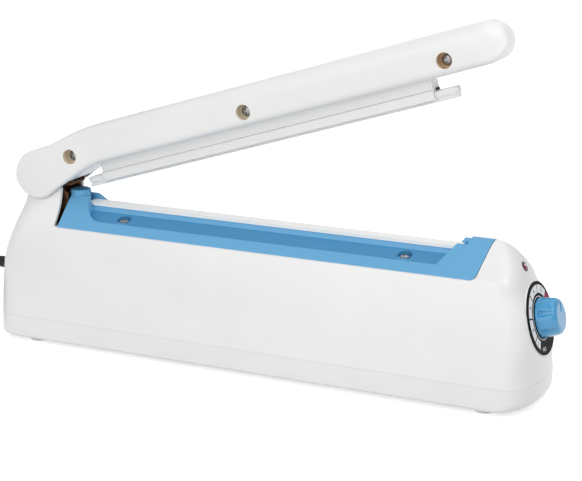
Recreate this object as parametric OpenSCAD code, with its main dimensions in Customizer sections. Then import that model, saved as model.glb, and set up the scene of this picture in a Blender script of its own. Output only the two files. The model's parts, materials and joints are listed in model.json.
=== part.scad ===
// Hand impulse sealer for bags, 300 mm class, in millimetres.
// X runs along the body with the knob end at +X, Z is up, and Y = 0 is the plane of symmetry.
// The origin lies on the surface under the middle of the seal strip.

/* [Body] */
// Width of the body at the seam between housing and tray
body_w = 86.8; // [84:0.2:90]
// Height of that seam above the surface
seam_z = 20.7; // [19.7:0.1:21.7]
// Height of the rim that carries the element cover
rim_z = 91.9; // [91.2:0.1:92.6]
// Width of the body at the rim
rim_w = 58; // [57:0.2:59]
// Distance of the rear end face behind the pivot
rear_reach = 34.5; // [33:0.5:38]
// How far the rear face leans in towards the hinge tower
rear_lean = 16.5; // [14:0.5:18]
// How far the side walls bow outwards
side_bow = 1.2; // [0.5:0.1:2]
// Wall thickness of the housing and the tray
wall = 2.6; // [2.4:0.1:2.8]
// Width of the joint line between two mouldings
joint_gap = 0.3; // [0.2:0.05:0.4]
// Diameter of a foot
foot_d = 14; // [12:0.5:16]
// Height of the tray floor above the surface
foot_h = 3.2; // [2.8:0.1:3.6]

/* [Front] */
// Distance of the dial's centre in front of the seal strip's end
dial_reach = 58.6; // [58.2:0.1:59]
// Height of the dial's centre
dial_z = 62.2; // [61.7:0.1:62.7]
// Lean of the dial's face
face_tilt = 14.2; // [14:0.1:14.8]
// Diameter of the dial plate
dial_d = 52; // [48:0.2:52.6]
// Diameter of the knob
knob_d = 28.6; // [26:0.2:30]
// Height of the knob
knob_h = 14.6; // [12.6:0.2:16]
// Diameter of the timer's shaft
shaft_d = 6; // [5.6:0.1:6.4]
// Diameter of the indicator's rim
lamp_d = 7; // [6:0.2:7.4]
// Height of the indicator
lamp_z = 98; // [97.2:0.1:99.2]

/* [Seal] */
// Length of the seal strip that shows
seal_len = 305; // [270:1:340]
// Width of the seal strip
strip_w = 11.4; // [11:0.1:12]
// Height of the top of the seal strip
strip_z = 108.5; // [108.2:0.1:108.7]
// Thickness of the seal strip's cloth
strip_t = 0.4; // [0.3:0.05:0.45]
// Thickness of the heating wire
wire_t = 0.25; // [0.2:0.05:0.3]
// Width of the heating wire
wire_w = 4; // [2:0.5:5]
// Thickness of the insulation under the wire
cloth_t = 0.4; // [0.3:0.05:0.5]
// Distance of the cover screws from the ends of the seal strip
cover_screw_in = 37.5; // [32.5:0.5:47.5]
// Distance of the cover screws from the plane of symmetry
cover_screw_y = 14.5; // [13.5:0.1:15]

/* [Arm] */
// Distance of the pivot behind the seal strip's end
pivot_reach = 36.5; // [36:0.1:37.5]
// Height of the pivot above the seal strip
pivot_rise = 20.7; // [20.5:0.1:21.2]
// Angle of the open arm
arm_open = 17.4; // [15:0.1:18]
// Distance of the arm's tip in front of the closed seal strip's end
arm_over = 51.5; // [46.5:0.5:54.5]
// Width of the arm
arm_w = 40; // [39:0.2:41]
// Wall thickness of the arm's shells
arm_wall = 2.4; // [2.2:0.1:2.6]
// Height of the arm's back over the pivot
arm_top = 25.4; // [25:0.1:26.4]
// Depth of the arm's underside below the pivot
arm_drop = 3.4; // [3:0.1:3.8]
// Diameter of the round head at the hinge
head_d = 37.6; // [36:0.2:38]
// Width of that head
head_w = 44; // [43:0.2:45]
// Diameter of the pivot pin
pin_d = 8; // [7:0.2:9]
// Diameter of the screw recesses in the arm
recess_d = 11.4; // [10.6:0.2:11.8]
// How much shorter the press bar is than the seal strip
bar_short = 24; // [23:1:34]
// How much longer the rubber strip is than the seal strip
rubber_over = 6; // [2:0.5:7]
// Width of the rubber strip
rubber_w = 10.8; // [10:0.2:11]

/* [Switch] */
// Diameter of the switch plunger's cap
plunger_d = 16; // [15:0.2:16.4]
// Travel of the switch plunger
plunger_travel = 3; // [2.8:0.1:3]

/* [Cord] */
// Diameter of the mains cord
cord_d = 6.8; // [6.4:0.1:7]
// Full turns in each layer of the coil
coil_turns = 2; // [1:1:3]
// Gap between neighbouring turns of the coil
coil_gap = 0.7; // [0.6:0.1:1]

/* [Hidden] */
$fn = 48;

// Colours as the photograph shows them
WHITE = "#f1f1ef";
BLUE = "#5b9fcd";
BROWN = "#7a5a3c";
STEEL = "#b9bcc0";
BRASS = "#c9a24e";
BLACK = "#222224";

// Clearances: running fit, seated fit, screw in its hole, and air beside a moving piece
run = 0.05;
seat = 0.02;
thread = 0.06;
air = 0.3;
// Overlap that joins two shapes of one moulding
join = 0.6;
// Length that passes right through any piece, and height that clears the roof
far = 600;
clear_h = 40;

// Places and lengths that follow the seal strip
seal_end = seal_len / 2;
pivot_x = -seal_end - pivot_reach;
pivot_z = strip_z + pivot_rise;
rear_x = pivot_x - rear_reach;
dial_x = seal_end + dial_reach;
cover_screw_x = seal_end - cover_screw_in;
arm_len = seal_len + pivot_reach + arm_over;
bar_len = seal_len - bar_short;
rubber_len = seal_len + rubber_over;

// Small screws: shank, head and the lengths in use
screw_d = 3.8;
screw_head = 7;
screw_head_h = 2.2;
fine_d = 2.6;
fine_head = 5;
fine_head_h = 1.8;
tray_screw_len = 30;
strap_screw_len = 10;
bar_screw_len = 10;
board_screw_len = 9;
bracket_screw_len = 9;

// Roof of the body, which the cover and the front dome share
roof_run = 1.02;
crown_y = 11;
crown_z = rim_z + (rim_w / 2 - crown_y) / roof_run;
crown_h = crown_y / (2 * roof_run);
roof_top = crown_z + crown_h;

// Front end: the dome over the dial, the nose under it, and their depth in plan
dome_x = seal_end + 23.5;
dome_len = 31.6;
dome_rise = 57;
nose_len = 41;
nose_z = 41.2;
nose_flare = 2.2;
nose_flare_z = 11.5;
front_depth = 21.5;
rear_depth = 26;
face_blend = 2;
front_steps = 36;
rear_steps = 14;
outer_levels = 28;
inner_levels = 14;

// Hinge tower over the rear end of the body
tower_front = pivot_x + 19;
tower_top = pivot_z - 9;
tower_back_top = pivot_z - 15;
tower_y = 16.2;
tower_fall = 1.9;
tower_root = 3;
tower_inset = 0.08;
ear_y = tower_y - 0.1;
ear_t = 2.6;
ear_r = 11;

// Cover: its ends, troughs, ridge and screw seats
cover_rear = tower_front + 3.5;
cover_front = seal_end + 19;
cover_lean = 0.22;
cover_gap = 0.5;
corner_r = 4;
ridge_top = strip_z - strip_t - wire_t - cloth_t;
ridge_y = strip_w / 2 - strip_t - seat;
ridge_side = 1.8;
ridge_foot = [7.2, ridge_top - 5];
trough_edge = [21.4, rim_z + 5.5];
crest_y = 22.6;
trough_end = seal_end - 2;
trough_lean = 0.28;
trough_r = 13;
ramp_low = seal_end - 13.6;
ramp_z = rim_z + 3;
ramp_run = 0.775;
slot_y = rubber_w / 2 + 1.1;
slot_z = strip_z - 3.5;
slot_flare = strip_z + 0.6;
cover_skin = 2.4;
hollow_top = ridge_foot[1] - cover_skin - 0.6;
cover_seat_z = ridge_foot[1] - 4.4;
cover_post_z = rim_z + 2;
cover_head_d = 7.4;
bar_in = 3;
bar_half = 4;
bar_deep = 4;
cover_recess_d = 10.8;

// Switch plunger at the hinge end of the cover
plunger_x = cover_rear + 4.1;
plunger_top = pivot_z - 12.2;
plunger_cap = 11.8;
plunger_seat = rim_z + 6.3;
stem_d = 6.8;
switch_top = rim_z - 7.7;
lever_angle = 14;
lever_arm = 11.6;
lever_t = 0.6;
switch_x = plunger_x - lever_arm;
switch_z = switch_top + 1;
switch_size = [28, 10.4, 16];

// Arm in its own frame: s along the arm from the pivot, t across it
bar_start = pivot_reach + 13.5;
rail_top = 1.5;
rail_y = 6.5;
channel_top = -11;
channel_y = 7.5;
channel_lip = -18.2;
lip_t = 1;
lip_y = 4.2;
rubber_start = pivot_reach - 0.9;
slot_end = pivot_x + rubber_start + rubber_len + 2.2;
closed_gap = 0.3;
rubber_low = strip_z + closed_gap - pivot_z;
spine_t = 2.5;
spine_y = 8;
spine_end = bar_start + bar_len - 8;
plate_y = 7.5;
plate_t = 2;
plate_r = 11;
toe = [13.5, 20.8];
toe_t = 2;
toe_low = plunger_top - plunger_travel + air - pivot_z;
pad = [4, 12];
pad_low = -10;
bush_y = [plate_y - 0.3, plate_y + plate_t + 0.3];
bush_t = 2;
bracket_y = 12;
bracket_t = 2;
bracket_r = 8;
bracket_front = cover_rear - 0.5;
web_x = pivot_x + 15.2;
web_top = pivot_z + toe_low - 0.8;
shelf_z = rim_z - 1.7;
shelf_t = 3;
arm_screw_s = [34, 190, arm_len - 43];
arm_screw_t = 7;
arm_screw_d = 4;
boss_d = recess_d + 3;
boss_inner = 10;
boss_floor = 13;
tip_r = 14.6;
tip_len = 36;
head_blend = 50;
head_edge_r = 2.6;
back_edge_r = 10;
belly_edge_r = 5;
head_clear = 18.4;
head_open = 6.5;
head_zone = 26;
bar_screw_s = [bar_start + 50, bar_start + bar_len - 41];
bar_pin_d = 2;
bar_pin_len = 14.4;
bar_pin_out = 2.4;

// Dial parts along the face's normal, with 0 on the face
dial_sink = 0.4;
dial_t = 1;
field_t = 0.2;
field_r = [17.7, 23.5];
field_edges = [216, 240, 283, 326, 369, 412, 455, 498];
field_gap = 3;
dial_seat_t = 5;
dial_seat_w = 4;
knob_low = dial_t - dial_sink + 0.4;
nut_t = 2.2;
nut_d = 12;
bushing_d = shaft_d + 1.2;
pot_d = 17;
pot_len = 10;

// Inside of the body
tray_floor = foot_h + wall;
post_d = 8;
board_x = seal_end - 4.5;
core_x = board_x - 87;
core = [62, 32, 52];
core_z = 24;
core_leg = 16;
window = [11, 34];
strap_t = 1.2;
strap_foot = 12;
strap_w = 12;
strap_screw_x = core[0] / 2 + strap_t + strap_foot / 2;
board = [56, 48, 1.6];
board_z = 26;
board_post = [23, 20];
board_post_d = 7;
relay = [20, 16, 15.5];
capacitor_d = 10;
capacitor_h = 18;
capacitor_x = [4, 16];
capacitor_y = 8;
tray_post_top = seam_z + 26.5;
boss_root = 0.9;
tray_screw_x = [-1, 0, 1] * (seal_end - 2.5);
tray_screw_y = wall_y(tray_post_top) - wall - post_d / 2 + boss_root;
foot_x = [rear_x + 38.5, seal_end + 30.5];
foot_y = 31.5;

// Cord: exit, clamp and routes, whose points are chosen by hand
exit_z = seam_z + 27.5;
relief_len = 19;
relief_d = cord_d + 5.2;
clamp_x = rear_x + 23.5;
cord_start = rear_x + 33.5;
coil_lift = 1.4;
coil_mid = [rear_x - 129, 0];
coil_step = cord_d + coil_gap;
coil_inner = 27.5;
coil_sides = 6;
coil_rings = 24;
cord_sides = 10;
lead_sides = 6;
lead_d = 2.4;
coil_z = cord_d / 2 + coil_lift;
coil_outer = coil_inner + coil_step * (coil_turns + 0.25);
tail_y = -coil_outer;
plug_x = rear_x - 77;
plug_len = 36;
plug_z = 8;
plug_pin_d = 4;
plug_pin_len = 18;
plug_pin_gap = 19;

// Value that eases from 0 to 1
function ease(t) = let (u = max(0, min(1, t))) u * u * (3 - 2 * u);

// Smaller of two values, with a rounded change over
function soft_min(a, b, k) =
    let (h = max(0, min(1, 0.5 + (b - a) / (2 * k)))) b + (a - b) * h - k * h * (1 - h);

// Half width of the roof and of the side wall at a height
function roof_y(z) = z < crown_z
    ? rim_w / 2 - (z - rim_z) * roof_run
    : crown_y * sqrt(max(0, (roof_top - z) / crown_h));
function wall_y(z) = let (t = (z - seam_z) / (rim_z - seam_z))
    body_w / 2 + (rim_w - body_w) / 2 * t + side_bow * 4 * t * (1 - t);
function side_y(z) = z < rim_z ? wall_y(z) : roof_y(z);

// Foremost point of the body at a height, before the dial's face is cut
function dome_at(z) =
    dome_x + dome_len * sqrt(max(0, 1 - pow(max(0, z - roof_top + dome_rise) / dome_rise, 2)));
function nose_at(z) = dome_x + nose_len * sqrt(max(0, 1 - pow((z - nose_z) / (roof_top - nose_z), 2)))
    + nose_flare * pow(max(0, seam_z + nose_flare_z - z) / nose_flare_z, 2);
function front_at(z) = let (t = ease((z - dial_z - 5) / 20)) nose_at(z) * (1 - t) + dome_at(z) * t;
function face_at(z) = dial_x - (z - dial_z) * tan(face_tilt);
function rear_at(z) = rear_x + rear_lean * ease((z - seam_z - 36.5) / 60);
function front_power(z) = 2.2 + 0.7 * ease((z - seam_z) / 40) + 0.1 * ease((z - dial_z - 12) / 30);

// One end of a plan outline: half of a superellipse
function end_points(x, depth, y, power, start, steps) = [
    for (k = [0 : steps])
        let (a = start + 180 * k / steps, c = cos(a), s = sin(a))
        [x + sign(c) * depth * (pow(abs(c), 2 / power)), sign(s) * y * pow(abs(s), 2 / power)]
];

// Plan outline of the body at a height, drawn in by an inset
function plan(z, y, front, face, rear) = concat(
    [for (p = end_points(front - front_depth, front_depth, y, front_power(z), -90, front_steps))
        [soft_min(p[0], face, face_blend), p[1], z]],
    [for (p = end_points(rear + rear_depth, rear_depth, y, 2.6, 90, rear_steps)) [p[0], p[1], z]]
);
function outer_plan(z) = plan(z, side_y(z), front_at(z), face_at(z), rear_at(z));
function inner_plan(z) = plan(z, min(side_y(z) - wall, side_y(z + wall)),
    min(front_at(z) - wall, front_at(z + wall) - wall / 2), face_at(z) - wall / cos(face_tilt),
    rear_at(z) + wall);

// Closed solid through a row of rings with equal numbers of points, closed by a fan at each end
module skin(rings) {
    n = len(rings[0]);
    m = len(rings);
    last = (m - 1) * n;
    polyhedron(
        points = [for (ring = rings) each ring],
        faces = concat(
            [for (i = [1 : n - 2]) [0, i, i + 1]],
            [for (j = [0 : m - 2], i = [0 : n - 1], half = [0, 1])
                let (k = (i + 1) % n)
                half == 0
                    ? [j * n + i, (j + 1) * n + k, j * n + k]
                    : [j * n + i, (j + 1) * n + i, (j + 1) * n + k]],
            [for (i = [1 : n - 2]) [last, last + i + 1, last + i]]
        )
    );
}

// Heights that crowd together towards the top
function levels(low, high, count) =
    [for (k = [0 : count]) low + (high - low) * (1 - pow(1 - k / count, 1.6))];

// Prisms: a side view run across the body, and a section run along it
module across(points, width) {
    rotate([90, 0, 0]) linear_extrude(width, center = true) polygon(points);
}
module along(points, from, to) {
    translate([from, 0, 0]) rotate([90, 0, 90]) linear_extrude(to - from) polygon(points);
}
function mirrored(points) =
    concat(points, [for (i = [len(points) - 1 : -1 : 0]) [-points[i][0], points[i][1]]]);

// Upright cylinder between two heights, and one that lies along Y
module post(x, y, low, high, d) {
    translate([x, y, low]) cylinder(h = high - low, d = d);
}
module bolt_y(s, t, from, to, d) {
    translate([s, from, t]) rotate([-90, 0, 0]) cylinder(h = to - from, d = d);
}

// Frames of the arm, of the dial's face and of the indicator
module in_arm() {
    translate([pivot_x, 0, pivot_z]) rotate([0, -arm_open, 0]) children();
}
module on_face() {
    translate([dial_x, 0, dial_z]) rotate([0, 90 - face_tilt, 0]) children();
}
lamp_slope = atan((dome_at(lamp_z - 1) - dome_at(lamp_z + 1)) / 2);
module on_dome() {
    translate([dome_at(lamp_z), 0, lamp_z]) rotate([0, 90 - lamp_slope, 0]) children();
}

// Screw with a domed head and a cross recess, whose seat is at 0 and whose head is up
module screw(d, length, head_d, head_h) {
    cross = head_d * 0.62;
    slot = head_d * 0.16;
    difference() {
        union() {
            translate([0, 0, -length]) cylinder(h = length, d = d);
            intersection() {
                cylinder(h = head_h, d = head_d);
                translate([0, 0, head_h - head_d * 0.85]) sphere(d = head_d * 1.7);
            }
        }
        for (a = [0, 90])
            rotate(a) translate([-cross / 2, -slot / 2, head_h * 0.4]) cube([cross, slot, head_h]);
    }
}

// Tube along a path, with a ring at each point square to the path there
function unit(v) = v / norm(v);
function path_way(path, i) = unit(path[min(i + 1, len(path) - 1)] - path[max(i - 1, 0)]);
function tube_ring(centre, way, r, sides) =
    let (side = unit(cross(abs(way[2]) > 0.9 ? [1, 0, 0] : [0, 0, 1], way)), up = cross(way, side))
    [for (k = [0 : sides - 1])
        let (a = 360 * (k + 0.5) / sides) centre + r * (cos(a) * side + sin(a) * up)];
module tube(path, d, sides) {
    skin([for (i = [0 : len(path) - 1]) tube_ring(path[i], path_way(path, i), d / 2, sides)]);
}

// Points of an upright coil spring with its ends run level
function spring_path(x, low, high, r, wire, turns) = [
    for (k = [0 : turns * 10])
        let (a = 36 * k, rise = high - low - wire)
        [x + r * cos(a), r * sin(a), low + wire / 2 + rise * k / (turns * 10)]
];

// Least clear distance between turns of a tube, measured on its points
function self_gap(path, d, skip) = min([
    for (i = [0 : len(path) - 1 - skip], j = [i + skip : len(path) - 1]) norm(path[i] - path[j])
]) - d;

// Round lower corner at the front of the cover, moved on by the joint there
function cover_corner(shift) = let (
        lean = atan(cover_lean),
        x = cover_front + shift - corner_r * tan(45 - lean / 2)
    ) [for (k = [0 : 6]) let (a = -90 + (90 - lean) * k / 6)
        [x + corner_r * cos(a), rim_z + corner_r * (1 + sin(a))]];
function cover_side(rear, shift) = concat([[rear, rim_z]], cover_corner(shift),
    [[cover_front + shift + cover_lean * clear_h, rim_z + clear_h], [rear, rim_z + clear_h]]);

module upper_housing() {
    color(WHITE) difference() {
        union() {
            difference() {
                housing_shell();
                across(cover_side(-far, cover_gap), far);
            }
            dial_seat();
            tower_walls();
            tower_ears();
            cover_posts();
            tray_bosses();
            bracket_shelf();
            switch_plate();
        }
        // Bores of the pivot, the dial's seat and the timer, the lamp and the cord
        bolt_y(pivot_x, pivot_z, -far / 2, far / 2, pin_d + 2 * air);
        on_face() {
            translate([0, 0, -dial_sink]) cylinder(h = 6, d = dial_d + 2 * joint_gap);
            translate([0, 0, -8]) cylinder(h = 16, d = bushing_d + 2 * thread);
        }
        on_dome() {
            translate([0, 0, -8]) cylinder(h = 16, d = lamp_d - 1.4 + 2 * thread);
            translate([0, 0, -0.25]) cylinder(h = 6, d = lamp_d + joint_gap);
        }
        translate([rear_x - 20, 0, exit_z]) rotate([0, 90, 0])
            cylinder(h = 40, d = relief_d + 2 * thread);
        // Screw holes
        for (x = [-1, 1] * cover_screw_x, y = [-1, 1] * cover_screw_y)
            post(x, y, rim_z - 14, rim_z + 4, screw_d + 2 * thread);
        for (x = tray_screw_x, y = [-1, 1] * tray_screw_y)
            post(x, y, seam_z - 1, tray_post_top - 3, screw_d + 2 * thread);
        for (y = [-6, 6]) post(pivot_x - 5, y, shelf_z - 8, shelf_z + 1, screw_d + 2 * thread);
        for (p = switch_holes()) bolt_y(p[0], p[1], 0, 12, 2.4 + 2 * thread);
    }
}

// Double skin: up the inside, round the lower rim and up the outside
module housing_shell() {
    low = seam_z + joint_gap / 2;
    inside = levels(low, roof_top - wall - 0.2, inner_levels);
    outside = levels(low, roof_top - 0.1, outer_levels);
    skin(concat(
        [for (i = [inner_levels : -1 : 0]) inner_plan(inside[i])],
        [for (z = outside) outer_plan(z)]
    ));
}

// Round seat that carries the dial's rim where the dome falls away behind it
module dial_seat() {
    on_face() translate([0, 0, -dial_seat_t]) difference() {
        cylinder(h = dial_seat_t - dial_sink, d = dial_d);
        translate([0, 0, -1]) cylinder(h = dial_seat_t + 2, d = dial_d - 2 * dial_seat_w);
    }
}

// Walls of the hinge tower, open to the front, rooted in the wall below
function tower_half(z) = z < rim_z
    ? wall_y(z) - tower_inset
    : tower_y - tower_inset
        + (rim_w / 2 - tower_y) * pow(max(0, 1 - (z - rim_z) / (tower_top - rim_z)), tower_fall);
function tower_ring(z) = let (
        y = tower_half(z),
        t = wall - 2 * tower_inset,
        x = rear_at(z) + tower_inset,
        outside = end_points(x + rear_depth, rear_depth, y, 2.6, 90, rear_steps),
        inside = end_points(x + rear_depth, rear_depth - t, y - t, 2.6, 90, rear_steps),
        all = concat([[tower_front, y]], outside, [[tower_front, -y], [tower_front, t - y]],
            [for (i = [rear_steps : -1 : 0]) inside[i]], [[tower_front, y - t]])
    ) [for (p = all) [p[0], p[1], z]];
module tower_walls() {
    count = 9;
    low = rim_z - tower_root;
    rings = [for (k = [0 : count]) tower_ring(low + (tower_top - low) * k / count)];
    n = len(rings[0]);
    h = n / 2;
    last = count * n;
    back = tower_front - 26;
    difference() {
        polyhedron(
            points = [for (ring = rings) each ring],
            faces = concat(
                [for (i = [0 : h - 2], half = [0, 1])
                    half == 0 ? [i, i + 1, n - 2 - i] : [i, n - 2 - i, n - 1 - i]],
                [for (j = [0 : count - 1], i = [0 : n - 1], half = [0, 1])
                    let (k = (i + 1) % n)
                    half == 0
                        ? [j * n + i, (j + 1) * n + k, j * n + k]
                        : [j * n + i, (j + 1) * n + i, (j + 1) * n + k]],
                [for (i = [0 : h - 2], half = [0, 1])
                    half == 0
                        ? [last + i, last + n - 2 - i, last + i + 1]
                        : [last + i, last + n - 1 - i, last + n - 2 - i]]
            )
        );
        // The back of the tower stays lower, clear of the arm's round end
        across([[-far, tower_back_top], [back - 6, tower_back_top], [back, tower_top + 1],
            [-far, tower_top + 1]], far);
    }
}

// Ears that carry the ends of the pivot pin
module tower_ears() {
    for (side = [-1, 1])
        translate([0, side * (ear_y - ear_t / 2), 0]) {
            bolt_y(pivot_x, pivot_z, -ear_t / 2, ear_t / 2, 2 * ear_r);
            translate([pivot_x - ear_r, -ear_t / 2, tower_top - 6])
                cube([2 * ear_r, ear_t, pivot_z - tower_top + 6]);
        }
}

// Posts for the cover screws, ribbed to the side walls
module cover_posts() {
    rib_t = 3;
    rib_end = rim_w / 2 + 0.1;
    for (x = [-1, 1] * cover_screw_x, side = [-1, 1]) {
        post(x, side * cover_screw_y, rim_z - 14, cover_post_z, 9);
        translate([x - rib_t / 2, side > 0 ? cover_screw_y : -rib_end, rim_z - 11])
            cube([rib_t, rib_end - cover_screw_y, 9.3]);
    }
}

// Bosses that take the tray screws, grown into the side walls
module tray_bosses() {
    for (x = tray_screw_x, y = [-1, 1] * tray_screw_y)
        post(x, y, seam_z + joint_gap / 2, tray_post_top, post_d);
}

// Shelf across the tower's foot that carries the hinge bracket
module bracket_shelf() {
    half = rim_w / 2 - 1.4;
    translate([pivot_x - 11, -half, shelf_z - shelf_t]) cube([28, 2 * half, shelf_t]);
}

// Plate and rib that carry the microswitch
module switch_plate() {
    y = switch_size[1] / 2;
    rib_t = 3;
    low = switch_top - switch_size[2] - 2;
    translate([switch_x - 4, y, low]) cube([switch_size[0] + 4, rib_t, switch_size[2] + 3]);
    translate([plunger_x - rib_t / 2, y + rib_t - join, low])
        cube([rib_t, rim_w / 2 + 1.5 - y - rib_t + join, switch_size[2] + 2]);
}
function switch_holes() = [for (x = [4, 22]) [switch_x - 1.5 + x, switch_top - switch_size[2] + 3]];

// Tray rings: up the outside, over the rim and down to the floor inside, with a rounder edge under the nose
side_round = 2.6;
nose_round = 8.4;
tray_high = seam_z - joint_gap / 2;
function tray_inset(z, r) = r - sqrt(max(0, r * r - pow(max(0, foot_h + r - z), 2)));
function tray_plan(z, side, front) = [for (p = plan(seam_z, body_w / 2 - side, front_at(seam_z) - front,
    face_at(seam_z), rear_at(seam_z) + side)) [p[0], p[1], z]];
module bottom_tray() {
    round_z = [for (share = [0, 0.015, 0.06, 0.14, 0.24, 0.31, 0.5, 0.75, 1]) foot_h + nose_round * share];
    low_z = tray_floor + 2.5;
    nose_low = foot_h + nose_round;
    nose_in = wall + tray_inset(low_z, nose_round);
    color(WHITE) difference() {
        union() {
            skin(concat(
                [for (z = round_z) tray_plan(z, tray_inset(z, side_round), tray_inset(z, nose_round))],
                [tray_plan(tray_high, 0, 0), tray_plan(tray_high, wall, wall),
                    tray_plan(nose_low, wall, wall), tray_plan(low_z, wall, nose_in),
                    tray_plan(tray_floor, wall + 2.5, nose_in + 2.5)]
            ));
            for (x = tray_screw_x, y = [-1, 1] * tray_screw_y)
                post(x, y, tray_floor - join, tray_high, post_d);
            for (x = [-1, 1] * board_post[0], y = [-1, 1] * board_post[1])
                post(board_x + x, y, tray_floor - join, board_z, board_post_d);
            for (x = [-1, 1] * core[0] / 4)
                translate([core_x + x - 1.5, -core[1] / 2, tray_floor - join])
                    cube([3, core[1], core_z - tray_floor + join]);
            for (x = [-1, 1] * strap_screw_x) post(core_x + x, 0, tray_floor - join, core_z - strap_t, 10);
            for (y = [-1, 1] * 10) post(clamp_x, y, tray_floor - join, exit_z - 7, post_d);
        }
        for (x = tray_screw_x, y = [-1, 1] * tray_screw_y) {
            post(x, y, foot_h - 1, seam_z + 1, screw_d + 0.6);
            post(x, y, foot_h - 1, foot_h + 3.2, screw_head + 0.6);
        }
        for (x = [-1, 1] * board_post[0], y = [-1, 1] * board_post[1])
            post(board_x + x, y, board_z - 10, board_z + 1, fine_d + 2 * thread);
        for (x = [-1, 1] * strap_screw_x) post(core_x + x, 0, core_z - 12, core_z + 1, screw_d + 2 * thread);
        for (y = [-1, 1] * 10) post(clamp_x, y, exit_z - 22, exit_z, 3 + 2 * thread);
        for (x = foot_x, y = [-1, 1] * foot_y) post(x, y, foot_h - 1, tray_floor + 1, 5 + 2 * thread);
    }
}

module feet() {
    color(WHITE) for (x = foot_x, y = [-1, 1] * foot_y) {
        translate([x, y, 0]) rotate_extrude()
            polygon([[0, 0], [foot_d / 2 - 0.8, 0], [foot_d / 2, 0.8], [foot_d / 2, foot_h], [0, foot_h]]);
        post(x, y, foot_h - 0.1, tray_floor + 1, 5);
    }
}

module tray_screws() {
    color(STEEL) for (x = tray_screw_x, y = [-1, 1] * tray_screw_y)
        translate([x, y, foot_h + 3.2]) rotate([180, 0, 0])
            screw(screw_d, tray_screw_len, screw_head, screw_head_h);
}

// Outline of the roof in section, and the same drawn in for the hollow below
function roof_section(steps) = mirrored(concat(
    [[-rim_w / 2, rim_z]],
    [for (k = [0 : steps])
        let (y = crown_y * (1 - k / steps)) [-y, roof_top - crown_h * pow(y / crown_y, 2)]]
));
function crest_z() = rim_z + (rim_w / 2 - crest_y) / roof_run;

module element_cover() {
    top = roof_top + 20;
    trough = mirrored([
        [-crest_y, top], [-crest_y, crest_z()], [-trough_edge[0], trough_edge[1]],
        [-ridge_foot[0], ridge_foot[1]], [-ridge_y, ridge_top - ridge_side], [-ridge_y, ridge_top]
    ]);
    hollow = mirrored([[-rim_w / 2 + 3, rim_z - 1], [-rim_w / 2 + 3, rim_z],
        [-trough_edge[0] - 0.4, trough_edge[1] - 2],
        [-ridge_foot[0] + 0.6, hollow_top]]);
    slot = mirrored([[-slot_y - clear_h, slot_flare + clear_h], [-slot_y, slot_flare], [-slot_y, slot_z]]);
    slot_rear = plunger_x + 4.4;
    color(BLUE) difference() {
        union() {
            difference() {
                intersection() {
                    along(roof_section(8), cover_rear, cover_front + clear_h);
                    across(cover_side(cover_rear - 1, 0), far);
                }
                intersection() {
                    along(trough, -far / 2, far / 2);
                    trough_plan();
                    across([[-far, rim_z], [ramp_low, ramp_z], [ramp_low + ramp_run * (top - ramp_z), top],
                        [-far, top]], far);
                }
                along(hollow, -seal_end - 0.6, cover_front - corner_r - cover_skin);
            }
            for (x = [-1, 1] * cover_screw_x, y = [-1, 1] * cover_screw_y)
                post(x, y, cover_post_z, cover_seat_z + 0.4, cover_recess_d + 2.4);
        }
        // Slots at both ends of the ridge, where the strip turns down and the rubber's ends come to rest
        translate([slot_rear, -slot_y, slot_z - 5]) cube([2 - seal_end - slot_rear, 2 * slot_y, clear_h]);
        difference() {
            union() {
                translate([slot_rear, -slot_y, slot_z]) cube([6 - seal_end - slot_rear, 2 * slot_y, clear_h]);
                along(slot, seal_end - 8, slot_end);
            }
            translate([2 - seal_end, -ridge_y, 0]) cube([seal_len - 3.2, 2 * ridge_y, ridge_top]);
        }
        translate([seal_len / 2 - 1.2, -wire_w, rim_z - 1]) cube([2.4, 2 * wire_w, 20]);
        translate([-seal_len / 2 - 0.6, -wire_w, rim_z - 1]) cube([2.4, 2 * wire_w, 20]);
        // Groove of the element bar
        translate([bar_in - 0.4 - seal_end, -bar_half - seat, ridge_top - bar_deep])
            cube([seal_len - 2 * bar_in + 0.8, 2 * (bar_half + seat), clear_h]);
        // Bore and stem hole of the switch plunger
        post(plunger_x, 0, plunger_seat, top, plunger_d + 2 * run);
        post(plunger_x, 0, rim_z - 1, top, stem_d + 2 * run);
        // Screw seats
        for (x = [-1, 1] * cover_screw_x, y = [-1, 1] * cover_screw_y) {
            post(x, y, cover_seat_z, top, cover_recess_d);
            post(x, y, rim_z, top, screw_d + 0.4);
        }
    }
}

// Plan of the troughs, leaning back and with round corners at the hinge end
module trough_plan() {
    r = trough_r;
    translate([-trough_end, 0, roof_top]) rotate([0, -atan(trough_lean), 0])
        linear_extrude(far, center = true) {
            translate([r, -crest_y]) square([far, 2 * crest_y]);
            translate([0, r - crest_y]) square([far, 2 * (crest_y - r)]);
            for (y = [-1, 1] * (crest_y - r)) translate([r, y]) circle(r);
        }
}

module cover_screws() {
    color(STEEL) for (x = [-1, 1] * cover_screw_x, y = [-1, 1] * cover_screw_y)
        translate([x, y, cover_seat_z]) screw(screw_d, cover_seat_z - rim_z + 12, cover_head_d, 2.2);
}

// Cloth over the ridge, with its sides and ends turned down
module seal_strip() {
    half = strip_w / 2;
    side = 2.4;
    color("#f7f7f5") {
        difference() {
            translate([-seal_len / 2, -half, strip_z - side]) cube([seal_len, strip_w, side]);
            translate([-far, -half + strip_t, -far])
                cube([2 * far, strip_w - 2 * strip_t, far + strip_z - strip_t]);
        }
        for (x = [-seal_len / 2, seal_len / 2 - strip_t])
            translate([x, -half, slot_z + 0.2]) cube([strip_t, strip_w, strip_z - slot_z - 0.2]);
    }
}

// Flat wire under the cloth, turned down at both ends towards its terminals
wire_low = rim_z + 1;
module heating_wire() {
    z = strip_z - strip_t;
    half = seal_len / 2 - strip_t - 0.2;
    color(STEEL) {
        translate([-half, -wire_w / 2, z - wire_t]) cube([2 * half, wire_w, wire_t]);
        for (x = [-half, half - wire_t])
            translate([x, -wire_w / 2, wire_low]) cube([wire_t, wire_w, z - wire_low]);
    }
}

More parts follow.
